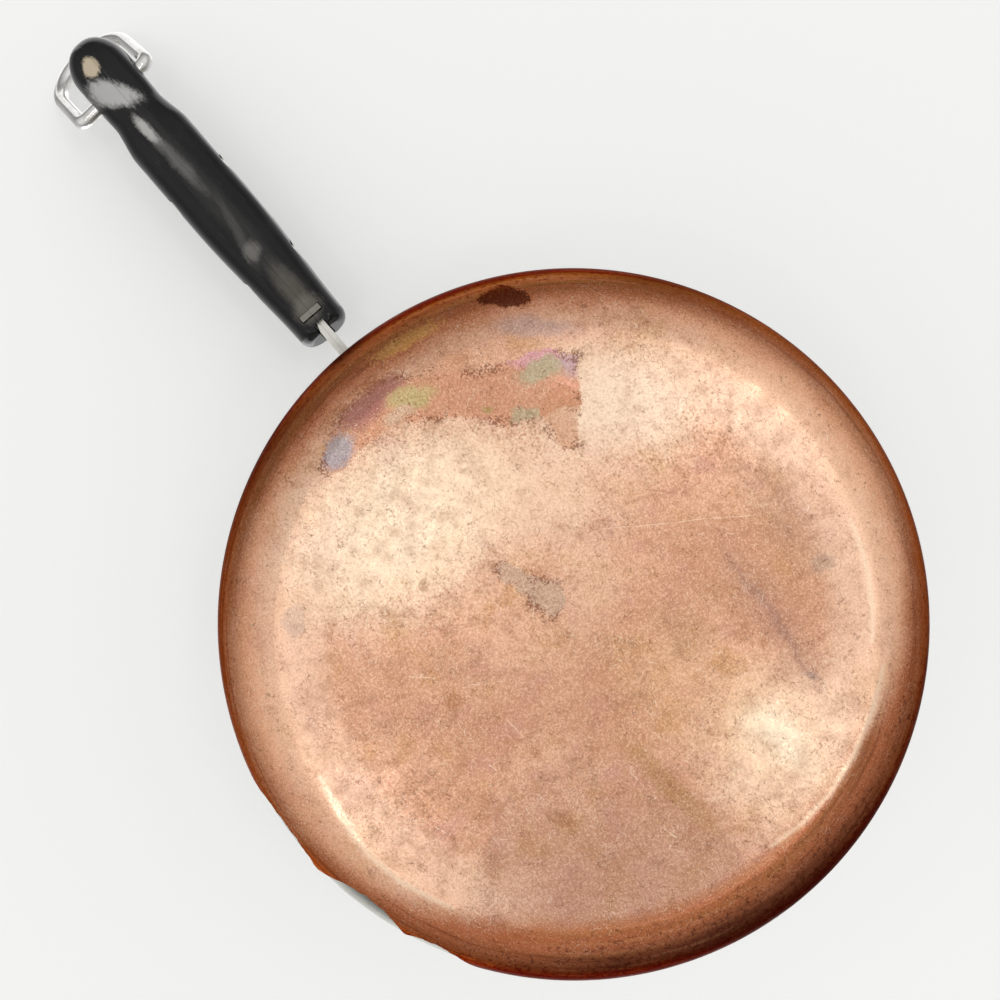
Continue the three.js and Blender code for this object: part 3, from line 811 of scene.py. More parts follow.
def copper_corner(graph, place, level, ragged):
    """The corner painted red-brown and dark towards its edge, more so towards the handle and away from it:
    partly tarnish, partly painted shade of the darker reflection that the turning corner shows.
    """
    out = graph.minus(graph.vector("LENGTH", level), BASE_FLAT_RADIUS / MM)
    down = graph.minus((COPPER / 2 + SKIN_CORNER) / MM, graph.split(place)[2])
    corner = graph.math("ARCTAN2", out, down)
    towards = graph.vector("DOT_PRODUCT", graph.vector("NORMALIZE", level), TARNISH_AND_SHADE_WAY)
    more = graph.minus(graph.swing(graph.times(towards, towards), 0.75), graph.times(towards, 0.34))
    cloud = graph.swing(graph.noise(place, 0.09, 5, 0.65), 0.5)
    wavering = graph.plus(corner, cloud, more, graph.times(ragged, 0.12))
    # Painted shade, partly: red-brown and dark brown grow towards the edge of the corner as tarnish and as
    # a painted darker reflection
    red = graph.times(graph.span(corner, -0.32, 0.05), graph.span(wavering, 0.08, 0.56, 0, 0.88))
    graph.wash("f2a67a", corner, 0.05, 0.55, 0.65)
    graph.lay(red, "be6539")
    graph.wash("663228", wavering, 0.65, 1.45, 0.92, graph.span(corner, 0.1, 0.3))
    # Painted shade: the outer rim of the corner painted darkest towards the handle
    graph.wash("5c2c24", towards, 0.55, 0.85, 0.6, graph.span(corner, 0.55, 1.05))

    # Blotches, ochre patches and crumbs of tarnish
    tarnished = graph.most(red, graph.span(corner, 0.35, 0.8, 0, 0.8))
    blotch = graph.noise(graph.round_place(place, 2.2), 0.55, 7, 0.78)
    graph.wash("642a1e", blotch, 0.51, 0.62, 0.6, tarnished)
    graph.wash("e0966a", blotch, 0.48, 0.36, 0.4, tarnished)
    ochre = graph.noise(graph.round_place(place, 1.6), 0.16, 5, 0.65)
    graph.wash("b07a3e", ochre, 0.51, 0.62, 0.4, tarnished)
    crumb = graph.plus(graph.noise(place, 1.1, 5, 0.75), graph.times(wavering, 0.14))
    graph.wash("55221a", crumb, 0.67, 0.72, 0.65, graph.span(corner, -0.3, -0.1))
    stirred = graph.shaken(level, 0.4, 2)
    graph.tone = graph.patches(stirred, graph.tone, AMBER_PATCH, ragged)
    drip = graph.plus(graph.outside_band(stirred, DRIP), graph.times(ragged, 0.8))
    graph.wash("561a0e", drip, 0.3, -0.2, 0.9)


def copper_scratches(graph, place, level):
    """1 on the scratches, 0 between them."""
    bent = graph.shaken(place, 0.1, 3)
    lines = graph.most(0.0, *(graph.strokes(bent, *kind, SCRATCH_LEAST) for kind in SCRATCH_FAMILIES))
    lines = graph.times(lines, graph.span(graph.noise(place, 0.13, 3, 0.6), 0.46, 0.62))
    for x0, y0, x1, y1 in LONG_SCRATCHES:
        ends = ((x0, y0, LONG_SCRATCH_HALF_WIDTH), (x1, y1, LONG_SCRATCH_HALF_WIDTH))
        off = graph.outside_band(graph.shaken(level, 0.2, 0.8), ends)
        lines = graph.most(lines, graph.span(off, 0.1, 0.0, 0, 0.7))
    return lines


def copper_burnish(graph, level, ragged):
    """1 on the painted highlight lines, 0 away from them."""
    glint_lines = 0.0
    for band in HIGHLIGHT_LINES:
        off = graph.plus(graph.outside_band(level, band), graph.times(ragged, 0.25))
        glint_lines = graph.most(glint_lines, graph.span(off, 0.8, -0.3))
    return glint_lines


def copper_material():
    """Used copper, with painted highlights and painted shade in its colour. What its bump takes stays clear
    of the tone, which is too long a chain for it.
    """
    graph = new_material("copper_patina_and_painted_light")
    place = graph.millimetres()
    level = graph.level(place)
    fleck = graph.noise(place, 1.9, 4, 0.7)
    mottle = graph.noise(place, 0.3, 6, 0.7)
    jag = graph.swing(fleck, 1.5)
    ragged = graph.swing(fleck, 3.0)

    copper_tone(graph, place, level, jag)
    calm = graph.span(graph.brightness(), 0.42, 0.65, 1.0, 0.5)
    graph.wash("b98462", mottle, 0.48, 0.68, 0.5, calm)
    smudge = graph.noise(graph.shaken(place, 0.1, 6), 0.16, 6, 0.72)
    graph.wash("a1755a", smudge, 0.53, 0.68, 0.55, calm)
    copper_stains(graph, level, ragged, jag)
    copper_corner(graph, place, level, ragged)

    # Pits, grain with painted glints, hairlines, scratches and painted highlight lines
    dense = graph.swing(graph.noise(place, 0.14, 4, 0.6), 0.2)
    pits = graph.span(graph.plus(fleck, dense), 0.56, 0.7)
    graph.lay(graph.times(pits, 0.5, calm), "7e5038")
    # The copper's fine grain, its darker and lighter specks painted as the glints and shade a rough surface
    # would show
    grain = graph.noise(place, 3.2, 2, 0.6)
    graph.wash("96664a", grain, 0.56, 0.36, 0.34, calm)
    clean = graph.span(graph.brightness(), 0.06, 0.32)
    graph.wash("fde0c4", grain, 0.52, 0.7, 0.3, clean)
    hairs = graph.span(graph.apart(graph.noise(place, 0.55, 2, 0.5), 0.5), 0.02, 0.006)
    graph.wash("7a4e36", graph.noise(place, 0.42, 3), 0.52, 0.6, 0.5, hairs)
    lines = copper_scratches(graph, place, level)
    graph.lay(graph.times(lines, 0.6, clean), "fde6cc")
    glint_lines = copper_burnish(graph, level, ragged)
    # Painted highlight along the lines at the edge of the base, which below are also made a little glossier
    graph.lay(graph.times(glint_lines, 0.5), "ffe6c8")

    height = graph.minus(graph.times(mottle, 0.6), graph.times(pits, 0.5), graph.times(lines, 0.3))
    dull = graph.span(mottle, 0.3, 0.7, 0.3, 0.42)
    return graph.principled(
        metallic=1.0,
        specular_tint=(0.34, 0.25, 0.24, 1),
        roughness=graph.minus(dull, graph.times(glint_lines, 0.06)),
        normal=graph.bump(height, 0.04 * MM, 0.6),
    )


# Other materials

# Pale patches on the underside of the grip, given as the stains are: a beige chip, whitish dirt, grey
# rubbed wear, and paler streaks along the channel that are partly painted highlights
GRIP_WEAR_AND_HIGHLIGHTS = (
    (110, 0.2, 30, 2.2, 0, 0.6, 0.5, "3c3b39"),
    (104, -0.8, 8, 0.9, 12, 0.6, 0.45, "63615d"),
    (125, -0.4, 8, 1.2, 177, 0.6, 0.5, "8a8884"),
    (133.6, -0.9, 3.6, 1.1, 176, 0.5, 0.9, "c9c7c3"),
    (99.4, -0.8, 1.7, 2, 120, 0.5, 0.6, "8a8680"),
    (88.5, 0.3, 5.5, 2.2, 0, 0.6, 0.45, "7c766b"),
    (82.5, 0.2, 2.6, 3, 0, 0.5, 0.45, "8d877c"),
    (143.7, -1.4, 5.4, 2.3, 138, 0.35, 0.92, "c4c3c0"),
    (150.1, -1.3, 2, 1.7, 30, 0.25, 1, "cdbda3"),
    (89, 7, 0.9, 0.9, 0, 0.5, 0.9, "b9b6b0"),
)


def stainless_material():
    """Satin steel, brushed round the pot and darkened by heat above the copper."""
    graph = new_material("stainless_satin")
    place = graph.millimetres()
    spun = graph.round_place(place, 0.7)
    lines = graph.noise(spun, 4.0, 3, 0.7)
    bands = graph.noise(spun, 0.35, 3, 0.7)
    smudge = graph.noise(place, 0.06, 6, 0.65)
    graph.tone = graph.mix(graph.span(smudge, 0.35, 0.7), "dbd9d4", "c9c5bd")
    graph.wash("a9a69f", bands, 0.4, 0.65, 0.25)
    graph.lay(graph.times(graph.strokes(place, 1.1, 3, 16, 0.7), 0.3), "e6e3dc")
    height = graph.plus(graph.split(place)[2], graph.span(smudge, 0.3, 0.7, -2, 2))
    graph.wash("6f706b", height, 20, 12, 0.75)
    return graph.principled(
        metallic=1.0,
        specular_tint=(0.8, 0.8, 0.78, 1),
        roughness=graph.plus(graph.span(lines, 0.3, 0.7, 0.2, 0.34), graph.span(smudge, 0.4, 0.7, 0, 0.1)),
        normal=graph.bump(lines, 0.02 * MM, 0.25),
    )


def phenolic_material():
    """Glossy black moulding. Its underside is painted grey in streaks along the grip: rubbed wear and dirt,
    with painted highlights along the channel.
    """
    graph = new_material("black_phenolic")
    place = graph.millimetres()
    haze = graph.noise(place, 0.11, 6, 0.7)
    grain = graph.noise(place, 1.8, 4, 0.7)
    drawn = graph.add("ShaderNodeMapping", {"Vector": place, "Scale": (0.12, 1.1, 1.1)}).outputs[0]
    marks = graph.strokes(place, 0.08, 4, 16, 0.7)
    graph.tone = graph.mix(graph.span(haze, 0.45, 0.75), "0a0a0b", "161515")
    graph.lay(graph.times(marks, 0.25), "5a5855")
    jag = graph.plus(graph.swing(graph.noise(drawn, 1, 4, 0.65), 0.8), graph.swing(grain, 0.7))
    # Rubbed wear, dirt and painted highlights on the underside of the grip
    worn = graph.patches(graph.shaken(graph.level(place), 0.25, 1.6), graph.tone, GRIP_WEAR_AND_HIGHLIGHTS, jag)
    graph.wash(worn, graph.split(place)[2], 48, 46, 1)
    gloss = graph.span(haze, 0.35, 0.75, 0.11, 0.3)
    return graph.principled(
        specular_ior_level=0.3,
        roughness=graph.most(gloss, graph.span(graph.brightness(), 0.02, 0.3, 0.1, 0.5)),
        normal=graph.bump(graph.minus(grain, marks), 0.03 * MM, 0.15),
    )


def steel_material(name, light, dark, roughness, grime=None):
    """Satin steel. Grime is the place along the handle where dirt has settled on it."""
    graph = new_material(name)
    place = graph.millimetres()
    cloud = graph.noise(place, 0.3, 6, 0.65)
    fine = graph.noise(place, 2.4, 4, 0.7)
    graph.tone = graph.mix(graph.span(cloud, 0.35, 0.7), light, dark)
    graph.wash("6d665c", fine, 0.6, 0.75, 0.35)
    if grime:
        off = graph.plus(graph.apart(graph.split(place)[0], grime / MM), graph.swing(fine, 1.5))
        graph.wash("5f5b53", off, 1.6, 0.8, 0.75)
    return graph.principled(
        metallic=1.0,
        roughness=graph.span(fine, 0.3, 0.7, roughness - 0.06, roughness + 0.08),
        normal=graph.bump(fine, 0.03 * MM, 0.3),
    )


# Pot shell


def fill_height(volume):
    """Height above the inside bottom that a poured volume reaches."""
    inner = WALL_RADIUS - WALL
    corner = inner - BASE_FLAT_RADIUS
    flat_part = BASE_FLAT_RADIUS**2 * corner
    ring_part = BASE_FLAT_RADIUS * corner**2 * math.pi / 2
    corner_volume = math.pi * (flat_part + ring_part + 2 / 3 * corner**3)
    return corner + (volume - corner_volume) / (math.pi * inner**2)


def mark_height(cups):
    return COPPER + BOND_GAP + WALL + fill_height(cups * CUP)


def shell_line():
    """The middle of the sheet, from the centre of the base to the end of the rolled rim."""
    middle = WALL_RADIUS - WALL / 2
    corner = middle - BASE_FLAT_RADIUS
    bottom = COPPER + BOND_GAP + WALL / 2
    roll = POT_HEIGHT - ROLL_RADIUS - WALL / 2
    start = bottom + corner
    heights = evenly(start, roll, WALL_STEPS)[1:-1]
    for cups in MARKED_CUPS:
        heights += [mark_height(cups) + share * MARK_WIDTH for share in MARK_ROWS]
    flat = [Vector((radius, bottom)) for radius in evenly(0, BASE_FLAT_RADIUS, FLAT_STEPS)[:-1]]
    base = arc(BASE_FLAT_RADIUS, start, corner, -math.pi / 2, 0, CORNER_STEPS)
    wall = [Vector((middle, height)) for height in sorted(heights)]
    rim = arc(middle + ROLL_RADIUS, roll, ROLL_RADIUS, math.pi, math.pi - ROLL_TURN, ROLL_STEPS)
    return [*flat, *base, *wall, *rim]


def lip_offset(turn, height):
    rise = ease((height - (POT_HEIGHT - LIP_DROP)) / LIP_DROP)
    return LIP_REACH * rise * sum(ease(1 - turn_between(turn, lip) / LIP_HALF_TURN) for lip in LIP_TURNS)


def mark_groove(turn, height):
    depth = 0
    _, _, inner, outer = MARK_ROWS
    for cups in MARKED_CUPS:
        off = abs(height - mark_height(cups)) / MARK_WIDTH
        half = WHOLE_MARK_HALF_TURN if cups == int(cups) else HALF_MARK_HALF_TURN
        within = ease((half - turn_between(turn, MARK_TURN)) / MARK_END_SOFT + 0.5)
        depth += MARK_DEPTH * ease((outer - off) / (outer - inner)) * within
    return depth


def shell_mesh():
    line = shell_line()
    outside = beside(line, WALL / 2)
    rows = [*outside, *reversed(beside(line, -WALL / 2))]

    def place(row, turn):
        radius, height = rows[row]
        radius += lip_offset(turn, height)
        if row >= len(outside) and radius > BASE_FLAT_RADIUS:
            radius += mark_groove(turn, height)
        return radius, height

    return revolved("pot_shell", len(rows), SHELL_SEGMENTS, place)


def figure_mesh(text, height):
    """A raised figure that follows the inner wall, beside its line."""
    curve = bpy.data.curves.new("figure", "FONT")
    curve.body = text
    curve.size = NUMERAL_HEIGHT / NUMERAL_SHARE_OF_SIZE
    curve.extrude = NUMERAL_THICKNESS
    curve.align_x = "CENTER"
    curve.align_y = "CENTER"
    mesh = final_mesh(add_object("figure", curve))
    inner = WALL_RADIUS - WALL
    middle = MARK_TURN - WHOLE_MARK_HALF_TURN - NUMERAL_GAP / inner
    for vertex in mesh.vertices:
        turn = middle - vertex.co.x / inner
        radius = inner - vertex.co.z
        vertex.co = (radius * math.cos(turn), radius * math.sin(turn), height + vertex.co.y)
    return soften(mesh)


# Copper skin


def worn_reach(turn, place, half, depth):
    """How far up the corner the skin comes before a worn bite, or None where there is no bite."""
    off = turn - place
    across = math.cos(off)
    if across < 0.5:
        return None
    a = (across / depth) ** 2 + (math.sin(off) / half) ** 2
    b = 2 * across * SKIN_OUTSIDE / depth**2
    c = (SKIN_OUTSIDE / depth) ** 2 - 1
    root = b * b - 4 * a * c
    if root <= 0:
        return None
    ragged = sum(share * math.sin(count * turn + shift) for share, count, shift in RAGGED_WAVES)
    radius = (b - math.sqrt(root)) / (2 * a) + RAGGED_DEPTH * ragged
    share = (radius - BASE_FLAT_RADIUS) / (SKIN_OUTSIDE - BASE_FLAT_RADIUS)
    return SKIN_CORNER * math.asin(min(max(share, 0), 1)) if share < 1 else None


def skin_reach(turn):
    """How far up the corner the skin comes. Its edge slopes down into each worn bite."""
    reach = SKIN_CORNER * math.pi / 2 + COPPER_ABOVE_CORNER + EDGE_WAVE * math.sin(EDGE_WAVES * turn)
    for step in range(-BITE_STEPS, BITE_STEPS + 1):
        off = step * BITE_STEP
        for worn in WORN_PLACES:
            bite = worn_reach(turn + off, *worn)
            if bite is not None:
                reach = min(reach, bite + BITE_SLOPE * abs(off) * SKIN_OUTSIDE)
    return reach


def skin_point(distance, side):
    """A point of the skin by its distance past the flat, on its outside (1) or inside (-1)."""
    end = SKIN_CORNER * math.pi / 2
    angle = min(max(distance, 0), end) / SKIN_CORNER
    radius = BASE_FLAT_RADIUS + min(distance, 0) + SKIN_CORNER * math.sin(angle)
    height = COPPER / 2 + SKIN_CORNER * (1 - math.cos(angle)) + max(distance - end, 0)
    out = side * COPPER / 2
    return radius + out * math.sin(angle), height - out * math.cos(angle)


def dish(distance):
    """How far the underside is dished in, and how it falls away past the ridge that it stands on."""
    if distance < 0:
        return DISH_DEPTH * ease(-distance / DISH_EDGE)
    return RIDGE_FALL * (1 - math.exp(-distance / RIDGE_RUN))


def skin_mesh():
    """Rows of points lie at a distance within the flat, or at a share of the way up to the edge."""
    across = evenly(-BASE_FLAT_RADIUS, 0, SKIN_FLAT_STEPS)[:-1]
    flat = sorted([*across, *evenly(-DISH_EDGE, 0, DISH_STEPS)[3:-1]])
    shares = [share**SKIN_CROWDING for share in evenly(0, 1, SKIN_STEPS)]
    outside = [*((d, None) for d in flat), *((None, s) for s in shares)]
    inside = [*((d, None) for d in flat[::7]), *((None, s) for s in shares[::4])]
    rows = [*((*row, 1) for row in outside), *((*row, -1) for row in reversed(inside))]
    reaches = {}

    def place(row, turn):
        distance, share, side = rows[row]
        if turn not in reaches:
            reaches[turn] = skin_reach(turn)
        where = distance if share is None else share * reaches[turn]
        radius, height = skin_point(where, side)
        return radius, height + (dish(where) if side > 0 else 0)

    return revolved("copper_base", len(rows), SKIN_SEGMENTS, place)


# Grip


def grip_section(x):
    """Half width of the grip at a place along it, and its heights above and below the middle line."""
    return [along(x, [(section[0], section[i]) for section in GRIP_SECTIONS]) for i in (1, 2, 3)]


def grip_stations():
    """Places along the grip, with the share of the full section at each."""
    round_end = GRIP_START + GRIP_END_ROUND
    stations = [(GRIP_START, 0)]
    for angle in evenly(-math.pi / 2, 0, GRIP_END_STEPS):
        share = lerp(GRIP_END_FLAT, 1, math.cos(angle))
        stations.append((round_end + GRIP_END_ROUND * math.sin(angle), share))
    stations += [(x, 1) for x in evenly(round_end, HEAD_PLACE, GRIP_STEPS)[1:-1]]
    for angle in evenly(0, math.pi / 2, HEAD_STEPS)[:-1]:
        stations.append((HEAD_PLACE + HEAD_LENGTH * math.sin(angle), math.cos(angle)))
    return [*stations, (GRIP_END, 0)]


def in_channel(x, y):
    """1 inside the channel under the grip, 0 outside it, with rounded edges."""
    share = (x - CHANNEL_START) / (CHANNEL_END - CHANNEL_START)
    half = lerp(CHANNEL_WIDE_HALF, CHANNEL_NARROW_HALF, min(share, 1))
    off = math.hypot(max(x - CHANNEL_END, 0), y) - half
    return ease(0.5 - off / CHANNEL_EDGE)


def chip_dent(x, y):
    """How deep a chip is broken out of the underside of the head."""
    off = (Vector((x, y)) - CHIP_PLACE).length / CHIP_RADIUS
    return CHIP_DEPTH * ease(CHIP_STEEPNESS * (1 - off))


def grip_point(x, share, angle, side):
    half_width, top, bottom = grip_section(x)
    across = max(math.cos(angle), 0) ** GRIP_POWER
    up = math.copysign(abs(math.sin(angle)) ** GRIP_POWER, math.sin(angle))
    y = share * across * half_width
    z = share * up * (top if up > 0 else bottom)
    seam = max(1 - y / SEAM_HALF_WIDTH, 0) * SEAM_DEPTH * share
    if z < 0:
        floor = CHANNEL_DEPTH - GRIP_BOTTOM
        z = lerp(z, max(z, floor), in_channel(x, y))
        z += seam + chip_dent(x, side * y) * share
    else:
        z -= seam
    return x, side * max(y, SEAM_LINE / 2), HANDLE_HEIGHT + z


def screw_seat(x):
    return grip_section(x)[0] - SCREW_HEAD_HEIGHT - SCREW_HEAD_SINK


def grip_mesh(side):
    angles = [math.pi * (share**GRIP_CROWDING - 0.5) for share in evenly(0, 1, GRIP_SIDES)]
    rows = [[grip_point(x, share, angle, side) for angle in angles] for x, share in grip_stations()]
    front = GRIP_START - PAST_GRIP_START
    beyond = BEYOND_GRIP
    slot = TONGUE_OUTER + CLEARANCE
    tall = TONGUE_HALF_HEIGHT + CLEARANCE
    reach = LUG_REACH + CLEARANCE
    half = LUG_HALF_LENGTH + CLEARANCE
    lug_top = LUG_RISE + CLEARANCE - TONGUE_HALF_HEIGHT
    cutters = [
        handle_box((front, -slot, -tall), (TONGUE_END + CLEARANCE, slot, tall)),
        handle_box((LUG_PLACE - half, -reach, -beyond), (LUG_PLACE + half, reach, lug_top)),
        handle_box((front, -slot, -beyond), (GRIP_START + MOUTH_LENGTH, slot, 0)),
        bar_mesh(RING_PIVOT, RING_BORE, -beyond, beyond),
    ]
    through = (SHANK_RADIUS if side > 0 else SLEEVE_RADIUS) + CLEARANCE
    for x in SCREW_PLACES.values():
        low, high = sorted((side * (screw_seat(x) - CLEARANCE), side * beyond))
        cutters.append(bar_mesh(x, through, -beyond, beyond))
        cutters.append(bar_mesh(x, SCREW_HEAD_RADIUS + HEAD_GAP, low, high))
    return cut(loft("grip", rows, GRIP_SHARP), cutters, GRIP_SHARP)


# Brackets


def bracket_line(side):
    """The middle of a bracket's sheet seen from above, from the end of its ear to the tip of its tongue."""
    ear_radius = WALL_RADIUS + WELD_GAP + BRACKET / 2
    middle = SEAM_LINE / 2 + BRACKET / 2
    bend_y = middle + BEND_RADIUS
    bend_x = math.sqrt((ear_radius + BEND_RADIUS) ** 2 - bend_y**2)
    bend_turn = math.atan2(bend_y, bend_x)
    ear = arc(0, 0, ear_radius, EAR_HALF_TURN, bend_turn, EAR_STEPS)[:-1]
    bend = arc(bend_x, bend_y, BEND_RADIUS, math.pi + bend_turn, 1.5 * math.pi, BEND_STEPS)
    return [Vector((p.x, side * p.y)) for p in [*ear, *bend, Vector((TONGUE_END, middle))]]


def curve_points(start, control, end):
    start, control, end = Vector(start), Vector(control), Vector(end)
    return [start.lerp(control, u).lerp(control.lerp(end, u), u) for u in evenly(0, 1, EAR_RUN_STEPS)]


def bracket_side():
    """The outline of a bracket from the side: a tall ear that runs out into the tongue."""
    inside = WALL_RADIUS * math.cos(EAR_HALF_TURN) - PAST
    ear_start = WALL_RADIUS + WELD_GAP + BRACKET
    ear_end = ear_start + EAR_RUN
    round_x = TONGUE_END - TONGUE_TIP_ROUND
    round_z = TONGUE_HALF_HEIGHT - TONGUE_TIP_ROUND
    tall = TONGUE_HALF_HEIGHT
    return [
        Vector((inside, -EAR_BOTTOM)),
        *curve_points((ear_start, -EAR_BOTTOM), (ear_end, -tall), (GRIP_START, -tall)),
        *arc(round_x, -round_z, TONGUE_TIP_ROUND, -math.pi / 2, 0, TIP_STEPS),
        *arc(round_x, round_z, TONGUE_TIP_ROUND, 0, math.pi / 2, TIP_STEPS),
        *curve_points((GRIP_START, tall), (ear_end, tall), (ear_start, EAR_TOP)),
        Vector((inside, EAR_TOP)),
    ]


def bracket_mesh(side):
    line = bracket_line(side)
    plan = [*beside(line, BRACKET / 2), *reversed(beside(line, -BRACKET / 2))]
    ends = (HANDLE_HEIGHT - EAR_BOTTOM - PAST, HANDLE_HEIGHT + EAR_TOP + PAST)
    sheet = prism(plan, lambda point, end: (*point, ends[end]))
    across = (-WALL_RADIUS, WALL_RADIUS)
    keep = prism(bracket_side(), lambda point, end: (point.x, across[end], HANDLE_HEIGHT + point.y))
    near, far = sorted((side * SEAM_LINE / 2, side * LUG_REACH))
    lug = handle_box(
        (LUG_PLACE - LUG_HALF_LENGTH, near, -TONGUE_HALF_HEIGHT - LUG_DROP),
        (LUG_PLACE + LUG_HALF_LENGTH, far, LUG_RISE - TONGUE_HALF_HEIGHT),
    )
    steps = [("INTERSECT", keep), ("UNION", lug)]
    for x in SCREW_PLACES.values():
        hole = bar_mesh(x, SLEEVE_RADIUS + CLEARANCE, -BEYOND_TONGUES, BEYOND_TONGUES)
        steps.append(("DIFFERENCE", hole))
    out = WALL_RADIUS + WELD_GAP + BRACKET + WELD_DENT_RADIUS - WELD_DENT_DEPTH
    for turn, height in WELD_PLACES:
        centre = (out * math.cos(turn), side * out * math.sin(turn), HANDLE_HEIGHT + height)
        steps.append(("DIFFERENCE", ball_mesh(centre, WELD_DENT_RADIUS)))
    return combine(sheet, steps, BRACKET_SHARP)


# Screws and sleeve nuts


def domed_head(seat):
    """The profile of a head: radii, and distances from the middle of the grip."""
    rim = seat + SCREW_HEAD_RIM
    dome = SCREW_HEAD_HEIGHT - SCREW_HEAD_RIM
    crown = [(SCREW_HEAD_RADIUS * p.x, rim + dome * p.y) for p in arc(0, 0, 1, 0, math.pi / 2, DOME_STEPS)]
    edge = [(SCREW_HEAD_RADIUS - SCREW_HEAD_EDGE, seat), (SCREW_HEAD_RADIUS, seat + SCREW_HEAD_EDGE)]
    return [*edge, *crown[:-1], (0, rim + dome)]


def screw_mesh(x, side):
    """A screw on the +Y side, or a sleeve nut on the other."""
    seat = screw_seat(x)
    if side > 0:
        tip = -SCREW_LAP
        profile = [(0, tip), (SHANK_RADIUS - SHANK_LEAD, tip), (SHANK_RADIUS, tip + SHANK_LEAD)]
        profile.append((SHANK_RADIUS, seat))
    else:
        bore = SHANK_RADIUS + THREAD_CLEARANCE
        bottom = SCREW_LAP + CLEARANCE
        profile = [(0, bottom), (bore, bottom), (bore, -TONGUE_OUTER), (SLEEVE_RADIUS, -TONGUE_OUTER)]
        profile.append((SLEEVE_RADIUS, seat))
    profile += domed_head(seat)
    rows = [round_across(x, radius, side * y, SCREW_SIDES) for radius, y in profile]
    top = seat + SCREW_HEAD_HEIGHT
    low, high = sorted((side * (top - SLOT_DEPTH), side * (top + PAST)))
    half = SCREW_HEAD_RADIUS + PAST
    slot = handle_box((x - half, low, -SLOT_WIDTH / 2), (x + half, high, SLOT_WIDTH / 2))
    return cut(loft("turned", rows, SCREW_SHARP), [slot], SCREW_SHARP)


# Hanging ring


def ring_line():
    """The middle of the ring's wire, lying straight out from its pins."""
    half = RING_HALF_WIDTH
    arm_end = RING_LENGTH - half
    pin = [Vector((0, y)) for y in evenly(HEAD_HALF_WIDTH - RING_PIN, half - RING_BEND, PIN_STEPS)[:-1]]
    bend = arc(RING_BEND, half - RING_BEND, RING_BEND, math.pi, math.pi / 2, BEND_STEPS)
    arm = [Vector((x, half)) for x in evenly(RING_BEND, arm_end, ARM_STEPS)[1:-1]]
    bow = arc(arm_end, 0, half, math.pi / 2, 0, BOW_STEPS)
    one_side = [*pin, *bend, *arm, *bow]
    return [*one_side, *(Vector((p.x, -p.y)) for p in reversed(one_side[:-1]))]


def ring_mesh():
    line = ring_line()
    last = len(line) - 1
    shape = Matrix.Translation((RING_PIVOT, 0, HANDLE_HEIGHT))
    shape @= Matrix.Rotation(-RING_SKEW, 4, "Z") @ Matrix.Translation((0, -RING_SHIFT, 0))
    shape @= Matrix.Rotation(-RING_TILT, 4, "Y")
    start = [(0, 0), (0, RING_PIN_FACE)]
    end = [(last, RING_PIN_FACE), (last, 0)]
    rows = []
    for i, share in [*start, *((i, 1) for i in range(len(line))), *end]:
        run = (line[min(i + 1, last)] - line[max(i - 1, 0)]).normalized()
        row = []
        for c, s in circle(RING_SIDES):
            across, up = RING_WIRE * share * c, RING_WIRE * share * s
            row.append(shape @ Vector((line[i].x - run.y * across, line[i].y + run.x * across, up)))
        rows.append(row)
    return loft("hanging_ring", rows)


# Stage, light and camera


def stage_plane(name, corners, height, material):
    (x0, y0), (x1, y1) = corners
    outline = [(x0, y0, height), (x1, y0, height), (x1, y1, height), (x0, y1, height)]
    mesh = bpy.data.meshes.new(name)
    mesh.from_pydata(outline, [], [(0, 1, 2, 3)])
    plane = add_object(name, mesh)
    mesh.materials.append(material)
    plane.visible_diffuse = False
    plane.visible_glossy = False
    plane.visible_transmission = False
    plane.visible_shadow = False
    plane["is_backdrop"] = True


def table_material():
    """Pale and matt, but seen only from below and not along its surface."""
    graph = new_material("table_pale")
    lift = graph.shader("Emission", TABLE_GLOW)
    shown = graph.shader("AddShader", graph.shader("BsdfDiffuse", PALE), lift)
    back = graph.add("ShaderNodeNewGeometry").outputs["Backfacing"]
    facing = graph.add("ShaderNodeLayerWeight", {"Blend": 0.5}).outputs["Facing"]
    hidden = graph.most(graph.minus(1.0, back), graph.span(facing, 0.5, 0.75))
    return graph.finish(graph.shader("MixShader", hidden, shown, graph.shader("BsdfTransparent")))


def floor_material():
    """Pale and matt, going over into the background far out, and seen only from above."""
    graph = new_material("floor_pale")
    far = graph.span(graph.vector("LENGTH", graph.level(graph.place())), 0.2, 0.8)
    matt = graph.shader("BsdfDiffuse", PALE)
    shown = graph.shader("MixShader", far, matt, graph.shader("Emission", BACKGROUND))
    back = graph.add("ShaderNodeNewGeometry").outputs["Backfacing"]
    return graph.finish(graph.shader("MixShader", back, shown, graph.shader("BsdfTransparent")))


def make_world():
    """A grey studio, brighter on two opposite sides, behind which the camera sees one pale colour."""
    world = bpy.data.worlds.new("studio")
    scene.world = world
    graph = Graph(world, "ShaderNodeOutputWorld")
    way = graph.add("ShaderNodeTexCoord").outputs["Generated"]
    height = graph.add("ShaderNodeMapRange", {"Value": graph.split(way)[2], "From Min": -1}).outputs[0]
    ramp = graph.add("ShaderNodeValToRGB", {0: height})
    greys = ramp.color_ramp.elements
    while len(greys) < len(STUDIO_GREYS):
        greys.new(0.5)
    for element, (position, value) in zip(greys, STUDIO_GREYS):
        element.position = position
        element.color = (value, value, value, 1)
    bright, dim = [
        graph.math("POWER", graph.vector("DOT_PRODUCT", way, side), 2) for side in (BRIGHT_SIDES, DIM_SIDES)
    ]
    contrast = {0: graph.minus(bright, dim), 1: SIDE_CONTRAST, 2: 1}
    strength = graph.add("ShaderNodeMath", contrast, operation="MULTIPLY_ADD").outputs[0]
    studio = graph.shader("Background", ramp.outputs[0], strength)
    camera_ray = graph.add("ShaderNodeLightPath").outputs["Is Camera Ray"]
    graph.finish(graph.shader("MixShader", camera_ray, studio, graph.shader("Background", BACKGROUND)))


